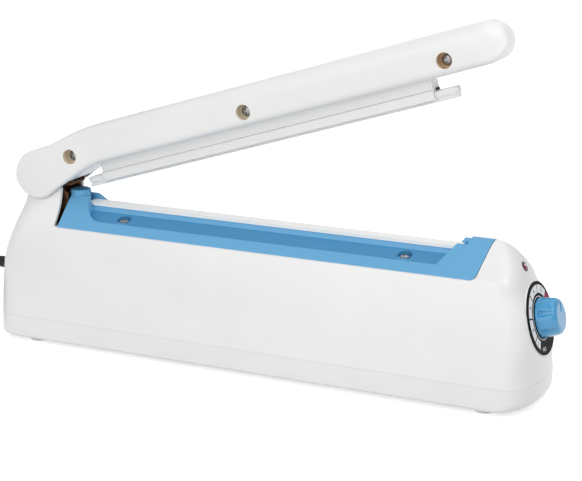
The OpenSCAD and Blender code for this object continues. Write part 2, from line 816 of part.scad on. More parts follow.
module insulation_strip() {
    color("#d9c9a3") translate([bar_in - seal_end, -bar_half, ridge_top])
        cube([seal_len - 2 * bar_in, 2 * bar_half, cloth_t]);
}

module element_bar() {
    color(STEEL) translate([bar_in - seal_end, -bar_half, ridge_top - bar_deep])
        cube([seal_len - 2 * bar_in, 2 * bar_half, bar_deep]);
}

// Brass blocks that hold the wire's ends, under the ridge
terminal = [10, 8, hollow_top - wire_low - 1.15];
module wire_terminals() {
    x = seal_len / 2 - strip_t - 0.2 - wire_t - 0.02;
    color(BRASS) for (side = [-1, 1]) difference() {
        translate([side > 0 ? x - terminal[0] : -x, -terminal[1] / 2, wire_low]) cube(terminal);
        post(side * (x - terminal[0] / 2), 0, wire_low - 1, wire_low + 4, 3 + 2 * thread);
    }
}
module terminal_screws() {
    x = seal_len / 2 - strip_t - 0.2 - wire_t - terminal[0] / 2;
    color(STEEL) for (side = [-1, 1])
        translate([side * x, 0, wire_low]) rotate([180, 0, 0]) screw(3, 3.6, 5.6, 1.8);
}

module transformer_core() {
    color("#6d7075") difference() {
        translate([core_x - core[0] / 2, -core[1] / 2, core_z]) cube(core);
        for (side = [-1, 1])
            translate([core_x + side * (core_leg / 2 + window[0] / 2) - window[0] / 2, -far / 2,
                core_z + core[2] / 2 - window[1] / 2]) cube([window[0], far, window[1]]);
    }
}

// Ring of rectangular section round the core's middle leg
module leg_ring(inner, outer, low, high) {
    difference() {
        translate([core_x - core_leg / 2 - outer, -core[1] / 2 - outer, low])
            cube([core_leg + 2 * outer, core[1] + 2 * outer, high - low]);
        translate([core_x - core_leg / 2 - inner, -core[1] / 2 - inner, low - 1])
            cube([core_leg + 2 * inner, core[1] + 2 * inner, high - low + 2]);
    }
}
bobbin_low = core_z + core[2] / 2 - window[1] / 2 + 0.3;
bobbin_high = bobbin_low + window[1] - 0.6;
module transformer_bobbin() {
    color("#e8dfc4") {
        leg_ring(0.3, 1.3, bobbin_low, bobbin_high);
        leg_ring(0.3, window[0] - 0.3, bobbin_low, bobbin_low + 1.2);
        leg_ring(0.3, window[0] - 0.3, bobbin_high - 1.2, bobbin_high);
    }
}
module transformer_winding() {
    color("#b8652f") leg_ring(1.32, window[0] - 1.2, bobbin_low + 1.25, bobbin_high - 1.25);
}

module transformer_strap() {
    inner = core[0] / 2 + seat;
    outer = inner + strap_t;
    end = outer + strap_foot;
    top = core_z + core[2] + seat;
    foot = core_z - strap_t;
    color(STEEL) translate([core_x, 0, 0]) difference() {
        across(mirrored([[-inner, top], [-inner, foot], [-end, foot], [-end, foot + strap_t],
            [-outer, foot + strap_t], [-outer, top + strap_t]]), strap_w);
        for (x = [-1, 1] * strap_screw_x) post(x, 0, foot - 1, foot + 3, screw_d + 0.4);
    }
}
module transformer_screws() {
    color(STEEL) for (x = [-1, 1] * strap_screw_x)
        translate([core_x + x, 0, core_z]) screw(screw_d, strap_screw_len, screw_head, screw_head_h);
}

module timer_board() {
    color("#3b7a4b") difference() {
        translate([board_x - board[0] / 2, -board[1] / 2, board_z]) cube(board);
        for (x = [-1, 1] * board_post[0], y = [-1, 1] * board_post[1])
            post(board_x + x, y, board_z - 1, board_z + 4, 3);
    }
}
board_top = board_z + board[2];
module timer_relay() {
    color("#2f5fa8") translate([board_x - 16, -18, board_top]) cube(relay);
}
module timer_capacitors() {
    color("#2b2f3a") for (x = capacitor_x)
        post(board_x + x, capacitor_y, board_top, board_top + capacitor_h, capacitor_d);
}
module board_screws() {
    color(STEEL) for (x = [-1, 1] * board_post[0], y = [-1, 1] * board_post[1])
        translate([board_x + x, y, board_top]) screw(fine_d, board_screw_len, fine_head, fine_head_h);
}

// Timer potentiometer behind the face, its nut in front, and the shaft that turns with the knob
pot_front = -wall - 0.05;
module potentiometer() {
    color("#8f9499") on_face() difference() {
        union() {
            translate([0, 0, pot_front - pot_len]) cylinder(h = pot_len, d = pot_d);
            translate([0, 0, pot_front - 0.1]) cylinder(h = dial_t + nut_t + 3 + 0.1, d = bushing_d);
        }
        translate([0, 0, pot_front - pot_len + 2]) cylinder(h = pot_len + 20, d = shaft_d + 2 * run);
    }
}
module potentiometer_nut() {
    low = dial_t - dial_sink;
    color(STEEL) on_face() translate([0, 0, low]) difference() {
        cylinder(h = nut_t, d = nut_d, $fn = 6);
        translate([0, 0, -1]) cylinder(h = nut_t + 2, d = bushing_d + 2 * seat);
    }
}
module potentiometer_shaft() {
    low = pot_front - pot_len + 2.2;
    color(STEEL) on_face() translate([0, 0, low]) cylinder(h = knob_low + knob_h - 3.2 - low, d = shaft_d);
}
module dial_plate() {
    color(BLACK) on_face() translate([0, 0, -dial_sink]) difference() {
        cylinder(h = dial_t, d = dial_d);
        translate([0, 0, -1]) cylinder(h = dial_t + 2, d = bushing_d + 2 * thread);
    }
}

// White fields of the dial, run clockwise from the lower left
module dial_fields() {
    color("#fafafa") on_face() translate([0, 0, dial_t - dial_sink])
        for (k = [0 : len(field_edges) - 2])
            rotate(180 - field_edges[k + 1] + field_gap / 2)
                rotate_extrude(angle = field_edges[k + 1] - field_edges[k] - field_gap)
                    translate([field_r[0], 0]) square([field_r[1] - field_r[0], field_t]);
}

// Lobed knob, with a round pocket over the nut and a groove for the pointer
module timer_knob() {
    lobes = 6;
    first_flute = 20;
    r = knob_d / 2;
    top_r = r - 1.2;
    edge = 4.2;
    skirt_h = 2.2;
    flute_d = 5.4;
    flute_deep = 1.3;
    color(BLUE) on_face() translate([0, 0, knob_low]) difference() {
        rotate_extrude() polygon(concat(
            [[0, 0], [r, 0], [top_r, knob_h - edge]],
            [for (a = [15 : 15 : 90]) [top_r - edge * (1 - cos(a)), knob_h - edge + edge * sin(a)]],
            [[0, knob_h]]
        ));
        for (k = [0 : lobes - 1]) rotate(first_flute + k * 360 / lobes)
            translate([top_r + flute_d / 2 - flute_deep, 0, skirt_h]) cylinder(h = knob_h, d = flute_d);
        translate([0, 0, -1]) cylinder(h = nut_t + 2.6, d = nut_d + 3);
        translate([0, 0, -1]) cylinder(h = knob_h - 1.9, d = shaft_d + 2 * seat);
        translate([-r, -0.8, knob_h - 1]) cube([r - 3, 1.6, 4]);
        translate([0, 0, knob_h - 5.4]) rotate([0, 90, 0]) cylinder(h = far, d = 2.4 + 2 * thread);
    }
}
module knob_set_screw() {
    color(STEEL) on_face() translate([shaft_d / 2 + 0.05, 0, knob_low + knob_h - 5.4])
        rotate([0, 90, 0]) cylinder(h = 5, d = 2.4);
}

module lamp_rim() {
    color(BLACK) on_dome() difference() {
        union() {
            translate([0, 0, -0.2]) cylinder(h = 0.6, d = lamp_d);
            translate([0, 0, -6]) cylinder(h = 6.2, d = lamp_d - 1.4);
        }
        translate([0, 0, -8]) cylinder(h = 20, d = lamp_d - 2.2);
    }
}
module lamp_lens() {
    color("#c2274d") on_dome() {
        translate([0, 0, -6]) cylinder(h = 6.4, d = lamp_d - 2.2 - 2 * seat);
        translate([0, 0, 0.4]) intersection() {
            cylinder(h = 2, d = lamp_d - 2.2 - 2 * seat);
            translate([0, 0, -2.2]) sphere(d = 6.4);
        }
    }
}

module microswitch() {
    low = switch_top - switch_size[2];
    color(BLACK) difference() {
        union() {
            translate([switch_x - 1.5, -switch_size[1] / 2, low]) cube(switch_size);
            for (y = [-1, 1] * 4.2)
                translate([switch_x - 1.5, y - 0.8, switch_top - join]) cube([3, 1.6, 2.6 + join]);
        }
        for (p = switch_holes()) bolt_y(p[0], p[1], -far / 2, far / 2, 2.4 + 2 * thread);
        bolt_y(switch_x, switch_z, -far / 2, far / 2, 1.2 + 2 * run);
    }
}

// Lever of the switch, whose pin turns in the two lugs
module microswitch_lever() {
    color(STEEL) translate([switch_x, 0, switch_z]) {
        bolt_y(0, 0, -4.8, 4.8, 1.2);
        rotate([0, -lever_angle, 0]) translate([0, -2.6, -lever_t / 2]) cube([lever_arm + 6, 5.2, lever_t]);
    }
}
module microswitch_screws() {
    color(STEEL) for (p = switch_holes())
        translate([p[0], -switch_size[1] / 2, p[1]]) rotate([90, 0, 0]) screw(2.4, 13, 4.6, 1.6);
}

stem_low = switch_z + (lever_arm + stem_d / 2) * tan(lever_angle) + lever_t / 2 / cos(lever_angle) + air;
module switch_plunger() {
    cap_low = plunger_top - plunger_cap;
    r = plunger_d / 2;
    color(BLUE) {
        translate([plunger_x, 0, cap_low]) rotate_extrude()
            polygon([[0, 0], [r, 0], [r, plunger_cap - 0.8], [r - 0.8, plunger_cap], [0, plunger_cap]]);
        post(plunger_x, 0, stem_low, cap_low + join, stem_d);
    }
}
plunger_coil = spring_path(plunger_x, plunger_seat + 0.05, plunger_top - plunger_cap - 0.1, 5.7, 0.9, 3);
module plunger_spring() {
    echo(plunger_spring_gap = self_gap(plunger_coil, 0.9, 6));
    color(STEEL) tube(plunger_coil, 0.9, 6);
}

// Bent steel bracket in the tower: a base on the shelf, two cheeks round the pivot pin and a web between them
module hinge_bracket() {
    base_low = shelf_z;
    base_rear = pivot_x - 10;
    front = bracket_front - pivot_x;
    color(BROWN) difference() {
        union() {
            translate([base_rear, -bracket_y, base_low])
                cube([bracket_front - base_rear, 2 * bracket_y, bracket_t]);
            translate([web_x, -bracket_y, base_low]) cube([bracket_t, 2 * bracket_y, web_top - base_low]);
            for (y = [-bracket_y, bracket_y - bracket_t]) {
                bolt_y(pivot_x, pivot_z, y, y + bracket_t, 2 * bracket_r);
                translate([pivot_x, y + bracket_t / 2, 0]) across([[-5, base_low], [front, base_low],
                    [front, pivot_z - 15], [front - 7, pivot_z - 8], [7, pivot_z], [-5, pivot_z]], bracket_t);
            }
        }
        bolt_y(pivot_x, pivot_z, -far / 2, far / 2, pin_d + 2 * seat);
        for (y = [-6, 6]) post(pivot_x - 5, y, base_low - 1, base_low + 4, screw_d + 0.4);
    }
}
module bracket_screws() {
    color(STEEL) for (y = [-6, 6])
        translate([pivot_x - 5, y, shelf_z + bracket_t])
            screw(screw_d, bracket_screw_len, screw_head, screw_head_h);
}

// Pin with a groove near each end for its clip
pin_half = head_clear - 0.5;
clip_y = ear_y + 0.3;
clip_t = 0.8;
module pivot_pin() {
    color(STEEL) difference() {
        bolt_y(pivot_x, pivot_z, -pin_half, pin_half, pin_d);
        for (y = [-clip_y - clip_t - 0.05, clip_y - 0.05]) difference() {
            bolt_y(pivot_x, pivot_z, y, y + clip_t + 0.1, pin_d + 2);
            bolt_y(pivot_x, pivot_z, y - 1, y + clip_t + 2, pin_d - 2.4);
        }
    }
}
module pivot_clips() {
    color(STEEL) for (y = [-clip_y - clip_t, clip_y]) difference() {
        bolt_y(pivot_x, pivot_z, y, y + clip_t, pin_d + 5);
        bolt_y(pivot_x, pivot_z, y - 1, y + clip_t + 2, pin_d - 2.4 + 2 * seat);
        translate([pivot_x - pin_d / 4, y - 1, pivot_z - far]) cube([pin_d / 2, clip_t + 2, far]);
    }
}

// Bushes pressed into the arm's lever, turning on the pin
module pivot_bushes() {
    color(BRASS) in_arm() for (y = [bush_y, [-bush_y[1], -bush_y[0]]])
        difference() {
            bolt_y(0, 0, y[0], y[1], pin_d + 2 * bush_t);
            bolt_y(0, 0, -far / 2, far / 2, pin_d + 2 * run);
        }
}

// Return spring between the bracket's base and the pad of the lever
spring_x = pivot_x + 9.5;
spring_low = shelf_z + bracket_t + 0.05;
spring_top = pivot_z + pad[0] * sin(arm_open) + (pad_low - plate_t) * cos(arm_open) - air;
return_coil = spring_path(spring_x, spring_low, spring_top, 4.6, 1.3, 6);
module return_spring() {
    echo(return_spring_gap = self_gap(return_coil, 1.3, 6));
    color(STEEL) tube(return_coil, 1.3, 6);
}

// Outline of the arm in side view: round head, straight back and belly, and a rounded tip
function head_edge(s) = sqrt(max(0, pow(head_d / 2, 2) - s * s));
function arm_back(s) = s < 4
    ? head_edge(s)
    : let (rise = head_edge(4)) rise + (arm_top - rise) * ease((s - 4) / 48);
function arm_belly(s) = s < 6
    ? -head_edge(s)
    : let (drop = head_edge(6)) -drop + (drop - arm_drop) * ease((s + 6) / 66);
function tip_fall(s) = let (u = max(0, s - arm_len + tip_r) / tip_r) 1 - sqrt(max(0, 1 - u * u));
function arm_mid() = (arm_top - arm_drop) / 2;
function arm_narrow(s) = 1 - 0.62 * (1 - sqrt(max(0, 1 - pow(max(0, s - arm_len + tip_len) / tip_len, 2))));
function arm_half(s) = (head_w + (arm_w - head_w) * ease(s / head_blend)) / 2 * arm_narrow(s);

// Ring round the arm at a station: a rectangle with round corners, more round on the back
function arm_ring(s, inset) = let (
        top = arm_back(s) + (arm_mid() - arm_back(s)) * tip_fall(s) - inset,
        low = arm_belly(s) + (arm_mid() - arm_belly(s)) * tip_fall(s) + inset,
        half = arm_half(s) - inset,
        span = top - low,
        blend = ease(s / head_blend),
        back_edge = head_edge_r + (back_edge_r - head_edge_r) * blend - inset / 2,
        belly_edge = head_edge_r + (belly_edge_r - head_edge_r) * blend - inset / 2,
        back_r = max(0.3, min(back_edge, span * 0.48, half * 0.9)),
        belly_r = max(0.3, min(belly_edge, span * 0.4)),
        corners = [[half - belly_r, low + belly_r, belly_r, -90], [half - back_r, top - back_r, back_r, 0],
            [-half + back_r, top - back_r, back_r, 90], [-half + belly_r, low + belly_r, belly_r, 180]]
    ) [for (c = corners, k = [0 : 5])
        let (a = c[3] + 18 * k) [s, c[0] + c[2] * cos(a), c[1] + c[2] * sin(a)]];
function arm_stations(inset) = concat(
    [for (a = [84 : -12 : -12]) -(head_d / 2 - inset) * sin(a)],
    [for (s = [12 : 8 : 60]) s],
    [100, 240, arm_len - tip_len],
    [for (a = [30 : 15 : 75]) arm_len - tip_len + (tip_len - tip_r) * a / 75],
    [for (a = [12 : 12 : 84]) arm_len - tip_r + (tip_r - inset) * sin(a)]
);
module arm_solid(inset) {
    skin([for (s = arm_stations(inset)) arm_ring(s, inset)]);
}

// One half of the arm, with its screw bosses
module arm_half_shell(side) {
    recess = side < 0 ? recess_d : recess_d - 2;
    boss = side > 0 ? [boss_inner, head_w / 2] : [-head_w / 2, -boss_inner];
    hole = side > 0 ? [boss_floor, far] : [-far, -boss_floor];
    in_arm() difference() {
        union() {
            difference() {
                arm_solid(0);
                arm_solid(arm_wall);
                // The head is open below for the tower, and the belly has a slot for the press bar
                translate([-far / 2, -head_clear, -far])
                    cube([far / 2 + head_zone, 2 * head_clear, far - head_open]);
                translate([bar_start - 2, -rail_y - air, -far])
                    cube([bar_len + 4, 2 * (rail_y + air), far + rail_top]);
            }
            intersection() {
                for (s = arm_screw_s) bolt_y(s, arm_screw_t, boss[0], boss[1], boss_d);
                arm_solid(arm_wall / 2);
            }
        }
        translate([-far, side > 0 ? -far : -0.05, -far]) cube([2 * far, far + 0.05, 2 * far]);
        for (s = arm_screw_s) {
            bolt_y(s, arm_screw_t, hole[0], hole[1], recess);
            bolt_y(s, arm_screw_t, -far / 2, far / 2, arm_screw_d + 0.4);
        }
    }
}
module arm_near_half() {
    color(WHITE) arm_half_shell(-1);
}
module arm_far_half() {
    color(WHITE) arm_half_shell(1);
}
module arm_screws() {
    color(STEEL) in_arm() for (s = arm_screw_s)
        translate([s, -boss_floor, arm_screw_t]) rotate([90, 0, 0])
            screw(arm_screw_d, 2 * boss_floor + 2.6, 8, 2.6);
}
module arm_nuts() {
    color(STEEL) in_arm() for (s = arm_screw_s) difference() {
        translate([s, boss_floor, arm_screw_t]) rotate([-90, 0, 0]) cylinder(h = 2.8, d = 7.6, $fn = 6);
        bolt_y(s, arm_screw_t, 0, far, arm_screw_d + 2 * thread);
    }
}

// Steel lever inside the arm: two cheeks on the pin, a spine over the press bar, the spring's pad
// and the toe
module arm_lever() {
    color(BROWN) in_arm() difference() {
        union() {
            for (y = [-plate_y - plate_t, plate_y]) {
                bolt_y(0, 0, y, y + plate_t, 2 * plate_r);
                translate([0, y + plate_t / 2, 0]) across([[0, -plate_r], [pad[0], pad_low - plate_t],
                    [toe[0], toe_low], [toe[1], toe_low], [25, -7.5], [31, -3], [44, rail_top], [44, 10],
                    [0, plate_r]], plate_t);
            }
            translate([toe[0], -plate_y - join, toe_low])
                cube([toe[1] - toe[0], 2 * (plate_y + join), toe_t]);
            translate([pad[0], -plate_y - join, pad_low - plate_t])
                cube([pad[1] - pad[0], 2 * (plate_y + join), plate_t]);
            translate([24, -spine_y, rail_top]) cube([spine_end - 24, 2 * spine_y, spine_t]);
        }
        bolt_y(0, 0, -far / 2, far / 2, pin_d + 2 * bush_t + 2 * seat);
        bolt_y(arm_screw_s[0], arm_screw_t, -far / 2, far / 2, arm_screw_d + 0.4);
        for (s = bar_screw_s) post(s, 0, rail_top - 1, rail_top + 4, screw_d + 0.4);
    }
}

// Aluminium extrusion under the arm, with a lipped channel for the rubber
bar_pin_t = channel_top - 0.3;
module press_bar() {
    channel = mirrored([[-rail_y, rail_top], [-rail_y, channel_top], [-channel_y, channel_top - 0.8],
        [-channel_y, channel_lip], [-lip_y, channel_lip], [-lip_y, channel_lip + lip_t],
        [-channel_y + 1.6, channel_lip + lip_t], [-channel_y + 1.6, channel_top - 1.6]]);
    color("#d9dbdd") in_arm() difference() {
        along(channel, bar_start, bar_start + bar_len);
        for (s = bar_screw_s) post(s, 0, rail_top - 9, rail_top + 1, screw_d + 2 * thread);
        translate([bar_start + bar_len + bar_pin_out - bar_pin_len - 0.2, 0, bar_pin_t]) rotate([0, 90, 0])
            cylinder(h = bar_pin_len, d = bar_pin_d + 2 * seat);
    }
}
module press_bar_screws() {
    color(STEEL) in_arm() for (s = bar_screw_s)
        translate([s, 0, rail_top + spine_t]) screw(screw_d, bar_screw_len, screw_head, screw_head_h);
}
module press_bar_pin() {
    color("#4a4a4c") in_arm() translate([bar_start + bar_len + bar_pin_out - bar_pin_len, 0, bar_pin_t])
        rotate([0, 90, 0]) cylinder(h = bar_pin_len, d = bar_pin_d);
}

// Rubber with a head in the channel, a neck between the lips and a pad below
module rubber_strip() {
    pad_top = channel_lip - 0.1;
    head_y = channel_y - 1.6 - 0.1;
    rubber = mirrored([[-head_y, channel_top - 1.8], [-head_y, channel_lip + lip_t + 0.1],
        [-lip_y + 0.1, channel_lip + lip_t + 0.1], [-lip_y + 0.1, pad_top], [-rubber_w / 2, pad_top],
        [-rubber_w / 2, rubber_low + 0.6], [-rubber_w / 2 + 0.6, rubber_low]]);
    color("#e9e9e6") in_arm() along(rubber, rubber_start, rubber_start + rubber_len);
}

// Moulded sleeve round the cord where it leaves the rear face
module strain_relief() {
    r = relief_d / 2;
    color(BLACK) translate([rear_x, 0, exit_z]) rotate([0, -90, 0]) difference() {
        rotate_extrude() polygon([[0, -wall - 4], [r, -wall - 4], [r, 0.2], [r + 2.4, 0.2], [r + 2, 3],
            [cord_d / 2 + 2, 3.4], [cord_d / 2 + 1, relief_len], [0, relief_len]]);
        translate([0, 0, -20]) cylinder(h = 80, d = cord_d + 0.3);
    }
}

// Two blocks that grip the cord inside, on the tray's posts
module cord_clamp() {
    block = [10, 28];
    color("#cfd0d2") for (upper = [0, 1]) difference() {
        translate([clamp_x - block[0] / 2, -block[1] / 2, upper > 0 ? exit_z + 0.1 : exit_z - 7])
            cube([block[0], block[1], 6.9]);
        translate([clamp_x - 20, 0, exit_z]) rotate([0, 90, 0]) cylinder(h = 40, d = cord_d + 0.2);
        for (y = [-10, 10]) post(clamp_x, y, exit_z - 10, exit_z + 10, 3.4);
    }
}
module clamp_screws() {
    color(STEEL) for (y = [-10, 10]) translate([clamp_x, y, exit_z + 7]) screw(3, 26, 6, 2);
}

// Leads inside the body: mains to the switch and the transformer, and the two heater leads
lead_low = switch_top - switch_size[2] - lead_d / 2 - 0.1;
core_rear = core_x - core[0] / 2 - strap_t - 0.3;
core_fore = core_x + core[0] / 2 + strap_t + 0.3;
lead_x = seal_end - 5.9;
lead_z = wire_low + terminal[2] / 2;
board_rear = board_x - board[0] / 2 + 3;
lead_paths = [
    [[cord_start + 1, 2, exit_z], [cord_start + 8, 3, 50], [switch_x + 2, 2, 58],
        [switch_x + 9, 0, lead_low - 4], [switch_x + 10, 0, lead_low + 1]],
    [[cord_start + 1, -2, exit_z], [cord_start + 15, -6, 40], [cord_start + 40, -12, 34],
        [46.6 - lead_x, -14, 32], [core_x - 101, -14, 32], [core_x - 61, -12, 34], [core_x - 41, -8, 38],
        [core_rear, -8, 42]],
    [[-lead_x, 4.1, lead_z], [-lead_x, 7, lead_z], [1.6 - lead_x, 10, 89], [6.6 - lead_x, 11, 82],
        [18.6 - lead_x, 11, 73], [46.6 - lead_x, 10, 66], [86.6 - lead_x, 8, 62], [core_x - 61, 8, 58],
        [core_x - 41, 9, 54], [core_rear, 9, 52]],
    [[lead_x, 4.1, lead_z], [lead_x, 7, lead_z], [lead_x - 1.6, 10, 89], [lead_x - 6.6, 11, 82],
        [lead_x - 18.6, 11, 73], [lead_x - 38.6, 9, 62], [core_fore, 9, 56]],
    [[switch_x + 18, -1, lead_low + 1], [switch_x + 19, -2, lead_low - 5], [switch_x + 34, -10, 56],
        [56.6 - lead_x, -18, 52], [core_x - 61, -26, 50], [core_x - 1, -30, 48], [core_x + 39, -26, 42],
        [core_x + 55, -20, 36], [board_rear, -16, 32], [board_rear, -16, board_top + 0.1]]
];
module inner_leads() {
    color("#c03a32") for (path = lead_paths) tube(path, lead_d, lead_sides);
}

// Mains cord from the clamp, out through the sleeve and down to the coil
function from_rear(points) = [for (p = points) [rear_x + p[0], p[1], p[2]]];
coil_start = coil_mid[0] + cord_d;
cord_route = concat(
    [[cord_start, 0, exit_z]],
    from_rear([[13, 0, exit_z], [-3, 0, exit_z], [-20, 0, exit_z], [-35, 1, 46], [-49, 5, 39.5],
        [-63, 12, 30], [-77, 23, 19.5], [-91, 34, 10.5], [-103, 41, 6], [-113, coil_outer, coil_z]]),
    [[coil_start, coil_outer, coil_z]]
);
module power_cord() {
    color(BLACK) tube(cord_route, cord_d, cord_sides);
}

// Coil of the spare length: in by one layer, up in the half turn where the spiral turns back, and out again
coil_half = 360 * (coil_turns + 0.25);
function coil_point(a) = let (
        r = coil_inner + coil_step * abs(a) / 360,
        lift = max(0, min(1, (a + 90) / 180)) * coil_step
    ) [coil_mid[0] + r * cos(a + 180), coil_mid[1] + r * sin(a + 180), coil_z + lift];
coil_loops =
    [for (k = [0 : 2 * coil_half * coil_rings / 360]) coil_point(-coil_half + 360 * k / coil_rings)];
coil_last = len(coil_loops) - 1;
coil_path = concat(
    [[coil_start, coil_outer, coil_z]],
    coil_loops,
    [[coil_start, -coil_outer, coil_z + coil_step]]
);
module cord_coil() {
    echo(coil_gap_least = self_gap(coil_loops, cord_d, coil_rings - 4));
    color(BLACK) tube(coil_path, cord_d, coil_sides);
}

// Strap tie round the bundle of turns, opposite the free end
module cord_tie() {
    t = 0.9;
    inside = coil_inner - cord_d / 2 - 0.4;
    outside = coil_outer + cord_d / 2 + 0.6;
    high = coil_z + coil_step + cord_d / 2 + 0.4;
    low = coil_z - cord_d / 2 - 0.3;
    color("#3a3a3c") translate([coil_mid[0], coil_mid[1], 0]) rotate(180) difference() {
        translate([inside - t, -3, low - t]) cube([outside - inside + 2 * t, 6, high - low + 2 * t]);
        translate([inside, -4, low]) cube([outside - inside, 8, high - low]);
    }
}

// Free end of the cord with its two pin plug
tail_route = concat(
    [[coil_start, tail_y, coil_z + coil_step]],
    from_rear([[-114, tail_y, coil_z + coil_step], [-103, tail_y, 10.5], [-93, tail_y, 8.4],
        [-85, tail_y, plug_z], [-77, tail_y, plug_z]])
);
module cord_tail() {
    color(BLACK) tube(tail_route, cord_d, cord_sides);
}
module plug_body() {
    size = [15, 30];
    color(BLACK) translate([plug_x, tail_y, plug_z]) rotate([0, 90, 0]) linear_extrude(plug_len)
        difference() {
            square(size, center = true);
            for (x = [-1, 1], y = [-1, 1])
                translate([x * size[0] / 2, y * size[1] / 2]) rotate(45) square(5, center = true);
        }
}
module plug_pins() {
    color(STEEL) for (y = [-1, 1] * plug_pin_gap / 2)
        translate([plug_x + plug_len, tail_y + y, plug_z]) rotate([0, 90, 0])
            cylinder(h = plug_pin_len, d = plug_pin_d);
}

upper_housing();
bottom_tray();
feet();
tray_screws();
element_cover();
cover_screws();
seal_strip();
heating_wire();
insulation_strip();
element_bar();
wire_terminals();
terminal_screws();
transformer_core();
transformer_bobbin();
transformer_winding();
transformer_strap();
transformer_screws();
timer_board();
timer_relay();
timer_capacitors();
board_screws();
potentiometer();
potentiometer_nut();
potentiometer_shaft();
dial_plate();
dial_fields();
timer_knob();
knob_set_screw();
lamp_rim();
lamp_lens();
microswitch();
microswitch_lever();
microswitch_screws();
switch_plunger();
plunger_spring();
hinge_bracket();
bracket_screws();
pivot_pin();
pivot_clips();
pivot_bushes();
return_spring();
arm_near_half();
arm_far_half();
arm_screws();
arm_nuts();
arm_lever();
press_bar();
press_bar_screws();
press_bar_pin();
rubber_strip();
strain_relief();
cord_clamp();
clamp_screws();
inner_leads();
power_cord();
cord_coil();
cord_tie();
cord_tail();
plug_body();
plug_pins();
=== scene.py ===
"""Looks of a hand impulse sealer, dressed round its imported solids. All lengths below are in millimetres."""
import json
import math

import bpy
from bpy.props import FloatProperty, FloatVectorProperty, PointerProperty
from bpy.types import NodeSocket, Operator, Panel, PropertyGroup
from mathutils import Matrix, Vector

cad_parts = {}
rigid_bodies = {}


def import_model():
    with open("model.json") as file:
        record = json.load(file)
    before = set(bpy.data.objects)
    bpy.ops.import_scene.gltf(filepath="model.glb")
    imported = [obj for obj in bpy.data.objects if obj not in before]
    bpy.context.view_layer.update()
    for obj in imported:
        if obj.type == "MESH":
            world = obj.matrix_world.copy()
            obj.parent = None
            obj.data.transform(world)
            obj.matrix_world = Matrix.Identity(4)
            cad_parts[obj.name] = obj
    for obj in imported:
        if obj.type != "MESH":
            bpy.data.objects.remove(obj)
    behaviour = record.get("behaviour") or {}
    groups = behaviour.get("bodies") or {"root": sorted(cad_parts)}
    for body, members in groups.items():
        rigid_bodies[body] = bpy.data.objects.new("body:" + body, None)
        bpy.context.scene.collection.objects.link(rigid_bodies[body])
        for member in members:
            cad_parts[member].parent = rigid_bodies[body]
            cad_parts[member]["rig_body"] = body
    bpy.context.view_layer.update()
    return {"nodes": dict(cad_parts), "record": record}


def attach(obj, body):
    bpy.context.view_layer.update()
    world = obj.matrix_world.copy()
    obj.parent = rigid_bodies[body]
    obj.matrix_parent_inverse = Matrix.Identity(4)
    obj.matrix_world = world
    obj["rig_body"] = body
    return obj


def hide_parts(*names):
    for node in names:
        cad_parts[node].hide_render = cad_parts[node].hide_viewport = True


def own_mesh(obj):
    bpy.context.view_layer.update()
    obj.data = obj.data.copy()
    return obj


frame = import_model()

bl_info = {
    "name": "Hand Impulse Sealer",
    "version": (1, 0, 0),
    "blender": (4, 5, 0),
    "location": "View3D > Sidebar > Sealer",
    "description": "Dresses the solids of a table-top bag sealer and sets its stage",
    "category": "Object",
}

MM = 0.001

# Distance under which corners are one, and angle under which faces are one flat face
SAME_PLACE = 0.002 * MM
SAME_FACE = math.radians(0.4)
# Corners from which a flat face is shaded flat, so that its triangles don't show
MANY_CORNERS = 12
# Share of a face's normal along an axis from which the face looks that way
FACING = 0.9
# Levels between which most of a noise or a wave lies
PATTERN_SPAN = (0.3, 0.7)
# Share of a relief's height that shows
RELIEF_STRENGTH = 0.6


def linear(code):
    """Linear colour with full alpha from an sRGB hex value."""
    parts = [int(code[i:i + 2], 16) / 255 for i in (0, 2, 4)]
    return [p / 12.92 if p <= 0.04045 else ((p + 0.055) / 1.055) ** 2.4 for p in parts] + [1.0]


def colour(name, code, about):
    """Colour property whose default is an sRGB hex value."""
    return FloatVectorProperty(
        name=name, description=about, subtype="COLOR", size=4, min=0.0, max=1.0, default=linear(code))


def length(name, size, about):
    """Length property whose default is given in millimetres."""
    return FloatProperty(name=name, description=about, unit="LENGTH", min=0.0, precision=5, default=size * MM)


class SealerColours(PropertyGroup):
    """Colours of the sealer's pieces."""
    body: colour("Body", "f2f2f1", "White of the body and the arm")
    blue: colour("Blue", "6cafdb", "Blue of the cover and the switch cap")
    # Painted shade: a deeper blue for the troughs' floors, which face up under the arm and lie in its shade
    painted_trough_shade: colour("Painted trough shade", "4a93c4", "Deeper blue of the floors of the cover's troughs")
    # Painted shade: a darker blue for the shade in the cover's screw recesses and the arm's shadow on the
    # cap's top
    painted_recess_shade: colour("Painted recess shade", "3f83b0", "Shaded blue of the cover's screw recesses and of the cap's top")
    knob: colour("Knob", "45a0d3", "Blue of the timer knob")
    dial: colour("Dial", "0e0e10", "Black of the dial plate")
    field: colour("Dial fields", "fbfbfa", "White of the dial's fields and its word")
    mark: colour("Red fields", "b41f45", "Red of the dial's fields for the longest times")
    lens: colour("Lamp", "7d1436", "Red of the lamp's lens")
    cord: colour("Cord", "101011", "Black of the cord, its sleeve and its plug")
    rubber: colour("Rubber", "f8f8f6", "Pale silicone of the press bar's strip")
    cloth: colour("Seal cloth", "fdfdfb", "White of the coated cloth over the heating wire")


class SealerSizes(PropertyGroup):
    """Sizes of the dressing that the solids leave open."""
    edge: length("Moulded edge", 0.7, "Radius of the edges of a moulded piece")
    plate_edge: length("Plate edge", 0.25, "Radius of the edges of a pressed or turned metal piece")
    numeral: length("Numeral", 3.3, "Height of the dial's numerals")
    ink: length("Ink", 0.06, "Thickness of the print on the dial")
    cord: length("Cord", 6.8, "Diameter of the mains cord")


def point(x, y, z):
    """Place in metres from millimetres."""
    return Vector((x, y, z)) * MM


def alone(piece):
    """Select one object only and make it active."""
    bpy.ops.object.select_all(action="DESELECT")
    piece.select_set(True)
    bpy.context.view_layer.objects.active = piece


